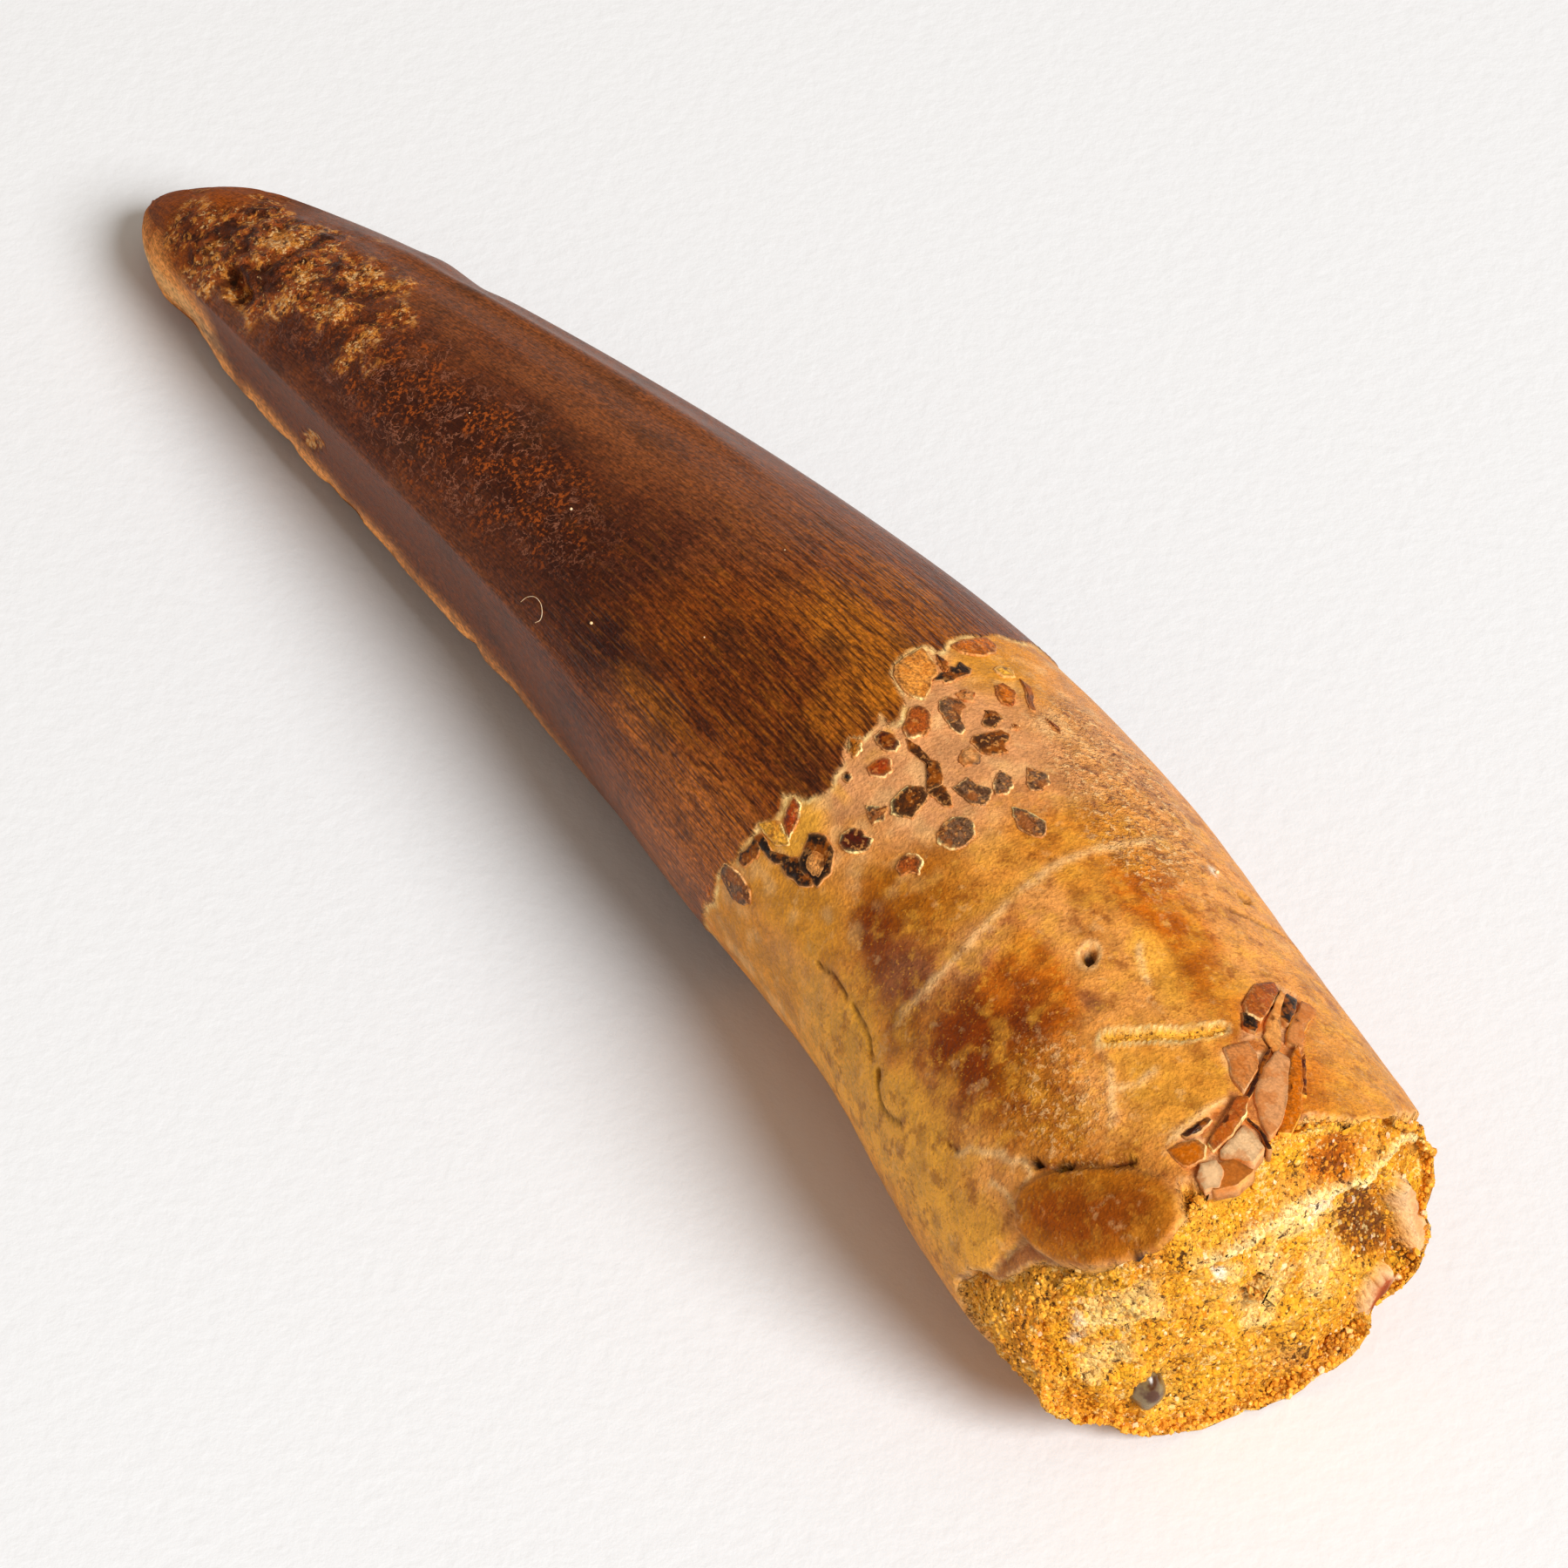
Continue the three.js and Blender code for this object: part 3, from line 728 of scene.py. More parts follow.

# %% [markdown]
# The root is honey coloured, with burnt and russet clouds. Its marks are laid on after them: the pale
# seam and veins, the groove's rim, the flake, the ledge and the dark cracks, and the holes painted black
# as painted shade of their insides. A painted highlight runs along the skin's broken edge and the flake's
# rim, a yellow cloud of painted light brightens the lower near side, and a small white painted highlight
# sits on the upper side.

# %% Stains of the root
ROOT_STAINS = [
    ("rose", (78.0, -1.5), (6.2, 7.0), 0, 1.0), ("rose", (82, 3.5), (4, 3), 0, 0.6),
    ("ochre", (80, -11.8), (5.5, 1.9), 0, 0.95), ("yellow", (76.6, -8.8), (1.6, 1.5), 0, 0.9),
    ("ochre", (73.5, 5.0), (2.4, 2.2), 0, 0.9), ("olive", (84.8, -6.6), (3.0, 2.4), 0, 0.95),
    ("honey", (88.6, 2.2), (3.2, 3.0), 0, 0.9), ("burnt", (95.6, 3.7), (4.4, 1.8), -6, 1.0),
    ("burnt", (92.0, 2.6), (2.4, 1.0), 0, 0.8), ("yellow", (97.6, 1.7), (3.2, 0.9), -6, 0.7),
    ("olive", (99, 3.4), (2.2, 1.6), 0, 0.6), ("burnt", (94.8, -3.6), (5.0, 1.5), -8, 0.95),
    ("russet", (95.8, -7.4), (4.0, 2.9), -8, 1.0), ("russet", (94.6, -8.8), (2.0, 1.2), 0, 0.7),
    ("burnt", (93.4, -5.4), (1.8, 0.9), -20, 0.7), ("russet", (85.6, -9.2), (3.4, 1.5), -8, 0.95),
    ("rose", (90.4, -5.2), (1.6, 2.6), 0, 0.6), ("plum", (88.8, -9.0), (2.7, 2.4), 0, 1.0),
    ("russet", (90.8, -10.6), (1.5, 1.0), -30, 0.9), ("wine", (90.7, -10.8), (0.8, 0.5), 0, 0.6),
    ("olive", (100.4, -7.2), (2.6, 2.4), 0, 0.8), ("ochre", (103.6, -1.4), (3.4, 2.6), 0, 0.85),
    ("tan", (103.4, -4.6), (3.2, 1.0), -14, 0.8), ("tan", (91.4, -1.4), (3.2, 1.2), 0, 0.8),
    ("plum", (97.7, -2.1), (0.8, 0.35), 8, 0.8), ("umber", (96.5, -11.2), (4.5, 1.3), 4, 0.6),
    ("tan", (101.5, -11.4), (3.4, 1.3), 4, 0.8), ("sienna", (97, -16), (9, 3.2), 0, 1.0),
    ("rose", (94.6, -14.8), (3, 1.4), 0, 0.6), ("filler", (83, -15.2), (3.4, 1.9), 0, 0.8),
    # In the line below, the yellow cloud at 93 mm from the tip is painted light: it brightens the root's
    # lower near side, which the lamp leaves in shade.
    ("sienna", (84, -17.5), (9, 2.4), 0, 0.9), ("yellow", (93, -15.2), (13, 3.8), 0, 0.9),
    ("ochre", (77.5, -17), (6, 2.4), 0, 0.8), ("ochre", (99, -19), (8, 1.6), 0, 0.7),
    ("burnt", (104.5, 5.8), (6.0, 1.7), -26, 0.5), ("tan", (92, 8.5), (15, 3.2), 0, 0.9),
    ("rose", (82, 9.5), (6, 3.2), 0, 0.7), ("tan", (90, 14), (22, 4), 0, 0.7),
    ("olive", (107.8, -9.0), (2.4, 1.4), 0, 0.8), ("olive", (107.6, -7.8), (4.6, 3.6), 0, 0.9),
    # In the line below, the white cloud is a painted highlight, a small sheen on the root's upper side.
    ("ochre", (107.5, 10), (4, 3), 0, 0.5), ("white", (91.7, 8.5), (0.6, 0.35), -10, 0.9)]
root_stain = lay(np.broadcast_to(TINT["honey"], spot.shape), "tan", 0.35 + 0.8 * drift)
root_stain = lay(root_stain, "burnt", 0.7 * rough(spot, 4.2, 83) - 0.05)
root_stain = lay_clouds(root_stain, ROOT_STAINS, 0.5, 50)
blotches = rough(spot, 1.1, 88)
root_stain = lay_all(root_stain, [
    ("yellow", 0.35 * smooth(blotches, 0.1, 0.6) * root),
    ("russet", 0.35 * smooth(-blotches, 0.15, 0.6) * root),
    ("pale", 0.4 * smooth(blotches, 0.0, 0.5) * (1 - smooth(along, 82, 87))),
    ("yellow", 0.5 * smooth(speckled, 0.2, 0.6) * (1 - smooth(-enamel, 0.6, 2.0))),
])
broken_line = smooth(lumps(spot, 1.3, 84), -1.0, 0.1)
root_stain = lay_all(root_stain, [
    ("pale", broken_line * (0.75 * bell(seam_gap, 0, 0.32) + 0.8 * bell(vein_gap, 0, 0.2))),
    ("cream", 0.85 * bell(groove_gap, 0.44, 0.1)),
    ("yellow", groove),
    ("olive", 0.9 * smooth(flake, 0, 0.5)),
    ("russet", 0.75 * smooth(flake + 1.2 * rough(spot, 3.0, 96), 0.3, 2.4)),
    ("plum", 0.8 * ledge),
    ("pale", 0.5 * bell(depth(place, LEDGE), 0.05, 0.12)),
    # A pale line along the skin's broken edge and the flake's rim: a painted highlight where these edges
    # catch the light.
    ("pale", (0.25 * bell(flake, 0.02, 0.12) + 0.45 * bell(skin, 0.1, 0.12))
     * (1 - 0.8 * smooth(flake, -0.3, 0.1))),
    ("glass", hollow),
    ("ivory", 0.7 * hollow * smooth(lumps(spot, 1.2, 87), 0.0, 0.5)),
    ("burnt", 0.8 * hollow * smooth(lumps(spot, 0.9, 89), 0.0, 0.5)),
    ("pale", 0.7 * bell(oval(place + wander, *HOLES[0]), 1.45, 0.3)),
    ("dark", 0.7 * bell(crack_gap, 0, 0.13)),
    # The holes are painted black: painted shade of their insides.
    ("black", 0.95 * holes),
    ("cream", 0.8 * bell(enamel, -0.12, 0.14) * smooth(lumps(spot, 1.1, 86), -0.7, 0.2)),
])
print("mean of the root:", root_stain[enamel < 0].mean(0).round(3))

# %% [markdown]
# Sand is yellow and drifts to brown. On the break it has cream and white patches, the pale crest, a
# burnt patch of resin, the brown bed, and the bone shard and the chip at the rim.

# %% Stains of the sand and the break
WHITE_PATCHES = [(-12.0, 10.2, 0.5, 1.4), (2.4, 13.7, 1.5, 0.8), (-4.2, 12.6, 0.5, 0.6)]
CREAM_PATCHES = [(-9.4, 11.4, 2.2, 1.6), (-3.8, 12.4, 0.9, 1.0), (0.6, 13.6, 2.8, 1.4),
                 (-1.0, 9.4, 1.6, 2.8), (2.6, 8.4, 1.2, 2.6), (-10.2, 7.4, 1.1, 1.6), (4.4, 11.0, 0.7, 1.4)]

sand_stain = lay(np.broadcast_to(TINT["yellow"], spot.shape), "burnt", 0.1 + 0.9 * rough(spot, 2.4, 85))
sand_stain = lay(sand_stain, "brown", 0.15 * (1 - smooth(-skin, 0.2, 1.2)) * smooth(around, 60, 120))
face_stain = lay(np.broadcast_to(TINT["sand"], face.shape), "brown", 0.15 + 0.9 * rough(face, 2.6, 87))


def patch(y, z, y_half, z_half):
    """Ragged oval stain on the break: 1 inside, 0 past its edge."""
    return smooth(1.3 - oval(section, (y, z), (y_half, z_half)) + 0.9 * rough(face, 0.9, 91), 0, 0.7)


for place_and_size in CREAM_PATCHES:
    face_stain = lay(face_stain, "cream", 0.5 * patch(*place_and_size))
face_stain = lay_all(face_stain, [
    ("cream", 0.8 * smooth(cream_bed, -0.1, 0.8) * smooth(rough(face, 0.9, 93), -0.6, 0.2)),
    ("cream", 0.2 * rough(face, 1.2, 89) + bell(above_crest, 0.05, 0.32)
     * smooth(face_y + 3 * rough(face, 2.0, 90), -9, -4)),
])
resin = 1.3 - oval(section, (3.0, 16.4), (1.9, 1.3), -30) + 0.5 * rough(face, 1.2, 97)
face_stain = lay_all(face_stain, [
    ("burnt", 0.85 * smooth(resin, 0, 0.5)),
    ("russet", 0.6 * smooth(resin, 0.5, 1.0)),
    ("brown", 0.95 * smooth(brown_bed, -0.2, 0.6)),
    ("dark", 0.75 * smooth(brown_bed + 0.7 * rough(face, 0.8, 92), 0.0, 0.7)),
])
for place_and_size in WHITE_PATCHES:
    face_stain = lay(face_stain, "white", 0.8 * patch(*place_and_size))
face_stain = lay_all(face_stain, [
    ("ivory", smooth(bone, -0.05, 0.1)),
    ("rose", 0.8 * smooth(bone, 0.1, 0.35) * smooth(face_y, 8.0, 8.8)),
    ("red", 0.95 * smooth(rim_chip, 0.25, 0.5)),
    ("wine", 0.4 * smooth(rim_chip, 0.8, 1.1)),
])
wall_stain = root_stain * (1 - crown[..., None]) + enamel_stain * crown[..., None]
wall_stain = wall_stain + sand[..., None] * (sand_stain - wall_stain)
stain = np.concatenate([wall_stain, face_stain])
print("mean stain:", [round(float(v), 3) for v in stain.reshape(-1, 3).mean(0)])

# %% [markdown]
# The finish reads a few measured fields: where the enamel and the skin end, how worn a place is, and
# where the streaks, the dark core, the pitting, the root and the groove are. These last six are stored
# three to a field, as the three numbers of a direction.

# %% Fields that the finish reads
def with_poles(values, at_tip, at_middle):
    """A field on the whole grid, flattened, with its values at the tip and at the break's middle."""
    values = np.asarray(values, float)
    ends = [np.broadcast_to(np.asarray(v, float), (1, *values.shape[2:])) for v in (at_tip, at_middle)]
    return np.concatenate([values.reshape(-1, *values.shape[2:]), *ends])


def over_face(wall_values, face_value):
    """A field of the wall carried on over the break with one value."""
    return np.concatenate([wall_values,
                           np.broadcast_to(face_value, (FACE_ROWS, COLUMNS, *wall_values.shape[2:]))])


striae = (0.15 + 0.85 * smooth(along, 46, 66)) * (1 - 0.5 * smooth(np.abs(across + 2), 8, 14))
pits = pitted * (1 - crown)
crown_marks = over_face(np.stack([worn, striae, core], -1), 0.0)
root_marks = over_face(np.stack([pits, root * (1 - 0.7 * smooth(flake, 0, 0.3)), groove], -1), 0.0)
bony = np.concatenate([0 * sand, smooth(bone, -0.05, 0.1)])
flow_all = np.concatenate([flow, np.stack([np.full(face.shape[:2], LENGTH), face_y, face_z], -1)])
tooth = add_mesh(
    "tooth_skin", points, [quads, *end_fans(rows, COLUMNS)], uvs,
    flow=with_poles(flow_all, [0, 0, 0], [LENGTH, 0, 0]),
    stain=with_poles(opaque(stain), [*TINT["dome"], 1], [*TINT["sand"], 1]),
    enamel_depth=with_poles(over_face(enamel, -4.0), 4.0, -4.0),
    skin_depth=with_poles(over_face(skin, -4.0), 4.0, -4.0),
    crown_marks=with_poles(crown_marks, 0.0, 0.0), root_marks=with_poles(root_marks, 0.0, 0.0),
    bony=with_poles(bony, 0.0, 0.0))
print("skin faces:", len(tooth.data.polygons))

# %% [markdown]
# ## Wiring helper
#
# A material is a net of small machines. This helper makes one machine per call and plugs it in, so the
# recipe of each finish reads from top to bottom. Lengths given to it are millimetres on the tooth.

# %% Wiring
class Bench:
    """A node tree with one short method for each kind of node that the finishes use."""

    def __init__(self, tree):
        self.tree = tree

    def plug(self, inputs, sources):
        """Each named input gets a fixed value, or a wire where the source is another node's output."""
        for key, value in sources.items():
            if isinstance(value, bpy.types.NodeSocket):
                self.tree.links.new(value, inputs[key])
            else:
                inputs[key].default_value = value

    def make(self, kind, inputs, output=0, **settings):
        """One node of a kind with its settings and inputs, and the output asked for."""
        node = self.tree.nodes.new(kind)
        for name, value in settings.items():
            setattr(node, name, value)
        self.plug(node.inputs, inputs)
        return node.outputs[output]

    def where(self):
        """The point's own place on the piece, in metres."""
        return self.make("ShaderNodeTexCoord", {}, "Object")

    def math(self, operation, *values):
        """One sum, product or other working with numbers."""
        return self.make("ShaderNodeMath", dict(enumerate(values)), operation=operation)

    def times(self, a, b):
        """a times b."""
        return self.math("MULTIPLY", a, b)

    def times_plus(self, a, b, c):
        """a times b plus c."""
        return self.math("MULTIPLY_ADD", a, b, c)

    def field(self, name, output="Fac"):
        """A field that the mesh carries."""
        return self.make("ShaderNodeAttribute", {}, output, attribute_name=name)

    def span(self, value, low, high, to_low=0.0, to_high=1.0):
        """A range of a number spread over another range, with soft ends."""
        inputs = {"Value": value, "From Min": low, "From Max": high, "To Min": to_low, "To Max": to_high}
        return self.make("ShaderNodeMapRange", inputs, interpolation_type="SMOOTHSTEP")

    def stretch(self, vector, scale):
        """A place with each of its three numbers scaled."""
        return self.make("ShaderNodeMapping", {"Vector": vector, "Scale": scale})

    def noise(self, vector, scale, detail=3.0, roughness=0.55, distortion=0.0):
        """Cloudy noise around 0.5, with lumps of one over the scale."""
        inputs = {"Vector": vector, "Scale": scale, "Detail": detail, "Roughness": roughness,
                  "Distortion": distortion}
        return self.make("ShaderNodeTexNoise", inputs)

    def noises(self, vector, scale, detail=3.0, roughness=0.6):
        """Three noises of one size that have nothing to do with one another."""
        inputs = {"Vector": vector, "Scale": scale, "Detail": detail, "Roughness": roughness}
        colour = self.make("ShaderNodeTexNoise", inputs, "Color")
        return self.make("ShaderNodeSeparateColor", {"Color": colour}).node.outputs

    def parts(self, name):
        """The three numbers that share one field."""
        return self.make("ShaderNodeSeparateXYZ", {"Vector": self.field(name, "Vector")}).node.outputs

    def cells(self, vector, scale, output="Distance"):
        """Rounded cells of one over the scale."""
        return self.make("ShaderNodeTexVoronoi", {"Vector": vector, "Scale": scale}, output)

    def mix(self, amount, a, b, blend="MIX"):
        """Colour a turned into colour b by an amount; each is an output or a name in the palette."""
        node = self.tree.nodes.new("ShaderNodeMix")
        node.data_type, node.blend_type = "RGBA", blend
        a, b = ((*TINT[side], 1) if isinstance(side, str) else side for side in (a, b))
        self.plug(node.inputs, {0: amount, 6: a, 7: b})
        return node.outputs[2]

    def lay_all(self, colour, layers):
        """Named colours laid on in order, each by its own amount."""
        for name, amount in layers:
            colour = self.mix(amount, colour, name)
        return colour

    def between(self, amount, a, b):
        """Number a turned into number b by an amount from 0 to 1."""
        return self.make("ShaderNodeMix", {0: amount, 2: a, 3: b})

    def bump(self, height, depth=MM, strength=1.0):
        """Tilts the surface by a height that is given in millimetres."""
        return self.make("ShaderNodeBump", {"Strength": strength, "Distance": depth, "Height": height})

    def shade(self, colour, factor):
        """The colour made lighter or darker by a factor that changes over the surface."""
        grey = self.make("ShaderNodeCombineColor", {"Red": factor, "Green": factor, "Blue": factor})
        return self.mix(1.0, colour, grey, "MULTIPLY")


def new_group(name, inputs, outputs):
    """An empty node group with named number inputs and named outputs, and a bench for its inside."""
    tree = bpy.data.node_groups.new(name, "ShaderNodeTree")
    for label, default in inputs.items():
        tree.interface.new_socket(label, in_out="INPUT",
                                  socket_type="NodeSocketFloat").default_value = default
    for label in outputs:
        tree.interface.new_socket(label, in_out="OUTPUT", socket_type="NodeSocketFloat")
    bench = Bench(tree)
    return tree, bench, tree.nodes.new("NodeGroupInput").outputs, tree.nodes.new("NodeGroupOutput").inputs


def new_finish(name):
    """A material with an empty bench and its principled shader."""
    material = bpy.data.materials.new(name)
    material.use_nodes = True
    return material, Bench(material.node_tree), material.node_tree.nodes["Principled BSDF"]


SATIN = 0.15  # how mirror-like the stone is, over polished glass at 0.5
MATT = 0.85  # roughness of sand and of worn stone
print("sheen of satin stone:", SATIN, " roughness of matt stone:", MATT)


# %% [markdown]
# ## Two effects in groups
#
# *Grit* is packed sand: rounded grains, each with its own shade. *Clouding* is the uneven tone of old
# stone at two scales. Both are groups. Clouding is used by the tooth, its chips and its loose grains, so
# that they age in the same way, and grit by the tooth's sand.

# %% Grit and clouding
grit, b, given, out = new_group("grit", {"Grain": 0.3}, ["Height", "Shade"])
where = b.where()
per_metre = b.math("DIVIDE", 1000.0, given["Grain"])
cell = b.cells(where, per_metre)
b.plug(out, {
    "Height": b.span(cell, 0.1, 0.75, 1.0, 0.0),
    "Shade": b.make("ShaderNodeSeparateColor", {"Color": b.cells(where, per_metre, "Color")}),
})

clouding, b, given, out = new_group("clouding", {"Coarse": 1.6, "Fine": 0.3}, ["Tone", "Grain"])
where = b.where()
coarse = b.noise(where, b.math("DIVIDE", 1000.0, given["Coarse"]), 4.0, 0.6)
fine = b.noise(where, b.math("DIVIDE", 1000.0, given["Fine"]), 3.0, 0.6)
b.plug(out, {"Tone": b.span(coarse, 0.32, 0.68), "Grain": b.span(fine, 0.3, 0.7)})


def clouds(b, coarse, fine):
    """The clouding group on a bench, for two sizes in millimetres: its tone and its grain."""
    tone = b.make("ShaderNodeGroup", {"Coarse": coarse, "Fine": fine}, "Tone", node_tree=clouding)
    return tone, tone.node.outputs["Grain"]


print("groups:", [g.name for g in bpy.data.node_groups])

# %% [markdown]
# ## The finish of the tooth
#
# One material carries four surfaces, and the fields measured above choose between them. Enamel has fine
# broken lines that run lengthwise, strongest near the neck, and a satin shine. Its dark core is crazed
# with a pale web. The worn patch is flecked with gold and with pale painted glints. The root is speckled
# gold and russet, and part of its gold specks are painted glints. Sand is matt, with dark and pale specks.
# All heights add up in millimetres, so the bumps have their real size.

# %% Colours of the enamel
tooth_finish, b, shader = new_finish("fossil_skin")
where = b.where()
flow_at, stain_here = b.field("flow", "Vector"), b.field("stain", "Color")
is_worn, striae_here, core_here = b.parts("crown_marks")
red, light, murk = b.noises(where, 3600.0, 3.0, 0.65)
cluster = b.noise(where, 600.0, 3.0)

streak = b.noise(b.stretch(flow_at, (0.07, 1.0, 1.0)), 5.2, 2.0, 0.6, 0.3)
ticks = b.noise(b.stretch(flow_at, (0.25, 1.0, 1.0)), 8.0, 2.0, 0.65)
line = b.times(b.span(streak, 0.5, 0.4), b.times(striae_here, 0.75))
enamel_colour = b.mix(b.times(b.span(streak, 0.54, 0.64, 0.0, 0.3), striae_here), stain_here, "gold_brown")
enamel_colour = b.mix(line, enamel_colour, "core")
enamel_colour = b.mix(b.span(red, 0.55, 0.7, 0.0, 0.35), enamel_colour, "rust")
haze = b.noise(b.stretch(flow_at, (0.5, 1.0, 1.0)), 0.42, 5.0, 0.6)
enamel_colour = b.mix(b.span(haze, 0.52, 0.66, 0.0, 0.5), enamel_colour, "dark")
tone = b.times(b.span(ticks, 0.34, 0.64, 0.62, 1.32), b.span(murk, 0.3, 0.7, 0.68, 1.32))
enamel_colour = b.shade(enamel_colour, tone)
grouped = b.noise(where, 420.0, 3.0)
blot = b.times(core_here, b.span(grouped, 0.54, 0.42, 0.0, 0.6))
enamel_colour = b.mix(blot, enamel_colour, "core")
dots = b.times(b.span(light, 0.5, 0.6), b.span(cluster, 0.46, 0.58))
enamel_colour = b.mix(b.times(dots, core_here), enamel_colour, "rust")
web = b.math("ABSOLUTE", b.math("SUBTRACT", b.noise(where, 950.0, 4.0, 0.65, 0.5), 0.5))
web = b.times(b.span(web, 0.024, 0.0), b.times(core_here, b.span(cluster, 0.54, 0.44, 0.0, 0.8)))
enamel_colour = b.mix(web, enamel_colour, "web")

fleck, scab, soot = b.noises(where, 1900.0, 4.0, 0.7)
more = b.math("SUBTRACT", grouped, 0.5)
fleck = b.times_plus(more, 0.7, fleck)
painted_glint = b.times_plus(more, 0.6, light)
worn_colour = b.mix(b.span(scab, 0.36, 0.6), "dark", "rust")
worn_colour = b.lay_all(worn_colour, [
    ("core", b.span(grouped, 0.47, 0.38, 0.0, 0.8)),
    ("gold", b.span(fleck, 0.49, 0.63, 0.0, 0.85)),
    # Pale specks on the worn patch: painted glints of its rough face.
    ("pale", b.span(painted_glint, 0.58, 0.66, 0.0, 0.8)),
    ("core", b.span(soot, 0.43, 0.35, 0.0, 0.85)),
])
worn_edge = b.span(b.times_plus(b.math("SUBTRACT", fleck, 0.5), 1.6, is_worn), 0.2, 0.8)
enamel_colour = b.mix(b.times(worn_edge, b.span(is_worn, 0.02, 0.5)), enamel_colour, worn_colour)
print("nodes for the enamel:", len(tooth_finish.node_tree.nodes))

# %% [markdown]
# The root's speckle and the sand's grit are laid in the same way: one noise lightens, another darkens.

# %% Colours of the root and the sand
pits_here, root_here, groove_here = b.parts("root_marks")
cloudy, grainy = clouds(b, 1.3, 0.22)
glint, brown_dot, dust = b.noises(where, 3900.0, 2.0, 0.7)
mottle, vapour, cream_dust = b.noises(where, 900.0, 4.0, 0.65)
pit_light, pit_dark, _ = b.noises(where, 2300.0, 3.0, 0.7)
root_colour = b.shade(stain_here, b.times(b.span(cloudy, 0, 1, 0.84, 1.14), b.span(grainy, 0, 1, 0.9, 1.1)))
strong = b.times_plus(root_here, 0.75, 0.25)
root_colour = b.lay_all(root_colour, [
    ("yellow", b.times(b.span(mottle, 0.52, 0.66, 0.0, 0.38), strong)),
    ("russet", b.times(b.span(vapour, 0.48, 0.34, 0.0, 0.5), strong)),
    # Yellow specks where the glint noise is high: partly the root's own gold specks and partly painted
    # glints of its crystals.
    ("yellow", b.times(b.span(glint, 0.6, 0.72, 0.0, 0.5), strong)),
    ("russet", b.times(b.span(brown_dot, 0.42, 0.3, 0.0, 0.4), strong)),
    ("pale", b.span(cream_dust, 0.58, 0.7, 0.0, 0.25)),
    ("pale", b.times(pits_here, b.span(pit_light, 0.54, 0.62, 0.0, 0.8))),
    ("plum", b.times(pits_here, b.span(pit_dark, 0.45, 0.38, 0.0, 0.8))),
    ("dark", b.times(groove_here, b.span(dust, 0.45, 0.37, 0.0, 0.9))),
])

sandy = b.make("ShaderNodeGroup", {"Grain": 0.3}, "Height", node_tree=grit)
grain_shade = sandy.node.outputs["Shade"]
speck_dark, speck_pale, speck_tone = b.noises(where, 3300.0, 3.0, 0.7)
drifts = b.math("SUBTRACT", b.noise(where, 520.0, 3.0), 0.5)
speck_dark = b.times_plus(drifts, 0.5, speck_dark)
speck_pale = b.times_plus(drifts, 0.7, speck_pale)
sand_colour = b.shade(stain_here, b.times(b.span(grain_shade, 0, 1, 0.8, 1.14),
                                          b.span(speck_tone, 0.3, 0.7, 0.74, 1.14)))
sand_colour = b.lay_all(sand_colour, [
    ("cream", b.span(speck_pale, 0.56, 0.69, 0.0, 0.55)),
    ("brown", b.span(speck_tone, 0.45, 0.36, 0.0, 0.6)),
    ("dark", b.span(speck_dark, 0.44, 0.36, 0.0, 0.9)),
])
bony_here = b.field("bony")
sand_colour = b.mix(bony_here, sand_colour, root_colour)
print("nodes with the root and the sand:", len(tooth_finish.node_tree.nodes))

# %% [markdown]
# Where one surface ends and the next begins, a little noise frays the measured edge. A bump works its
# height out three times over, so each height asks for one plain noise, which is the same as the first
# of the three that its colours use.

# %% Edges, heights and shine
edge_noise = b.span(b.noise(where, 1900.0, 4.0, 0.65), 0.28, 0.72, -0.22, 0.22)
is_enamel = b.span(b.math("ADD", b.field("enamel_depth"), edge_noise), -0.03, 0.04)
is_skin = b.span(b.math("ADD", b.field("skin_depth"), edge_noise), -0.05, 0.05)
body_colour = b.mix(is_enamel, root_colour, enamel_colour)
final_colour = b.mix(is_skin, sand_colour, body_colour)

fleck_bump = b.times_plus(more, 0.7, b.noise(where, 1900.0, 4.0, 0.7))
glint_bump, pit_bump = b.noise(where, 3900.0, 2.0, 0.7), b.noise(where, 2300.0, 3.0, 0.7)
speck_bump = b.times_plus(drifts, 0.5, b.noise(where, 3300.0, 3.0, 0.7))
enamel_height = b.times_plus(b.times(streak, striae_here), 0.12, b.times(ticks, 0.04))
worn_height = b.times_plus(fleck_bump, 0.5, b.times(glint_bump, 0.2))
enamel_height = b.times_plus(is_worn, worn_height, enamel_height)
root_height = b.times_plus(root_here, b.times(cloudy, 0.04),
                           b.times_plus(glint_bump, 0.04, b.times(grainy, 0.03)))
root_height = b.times_plus(pits_here, b.times(pit_bump, 0.35), root_height)
sand_height = b.times_plus(sandy, 0.1, b.times(speck_bump, 0.25))
sand_height = b.between(bony_here, sand_height, root_height)
height = b.between(is_enamel, root_height, enamel_height)
height = b.between(is_skin, sand_height, height)

shine = b.between(is_enamel, b.span(cloudy, 0, 1, 0.38, 0.5), b.span(ticks, 0.3, 0.7, 0.3, 0.42))
shine = b.between(is_skin, MATT, shine)
worn_dome = b.span(b.parts("flow")[0], 8.0, 14.0, 0.8, 0.0)
shine = b.between(worn_dome, shine, MATT)
b.plug(shader.inputs, {"Base Color": final_colour, "Roughness": shine, "Normal": b.bump(height),
                       "Specular IOR Level": SATIN})
tooth.data.materials.append(tooth_finish)
print("tooth finish nodes:", len(tooth_finish.node_tree.nodes))

# %% [markdown]
# ## Chips in the neck, splinters in the root
#
# Bits of enamel and bone were pressed into the filler while it was soft. Each chip is a thin plate cut
# to an outline on the unrolled skin. Rings of points shrink from the outline to its middle. The outer
# ring is a thin collar of pale filler squeezed up around parts of the chip.

# %% Plates set into the skin
RING_POINTS = 40
TO_MIDDLE, MIDDLE_SHARE = 9, 0.45  # a shrink of 9 stands for a ring of under half the outline
BURIED = -0.3  # rings that lie deeper than this don't tilt


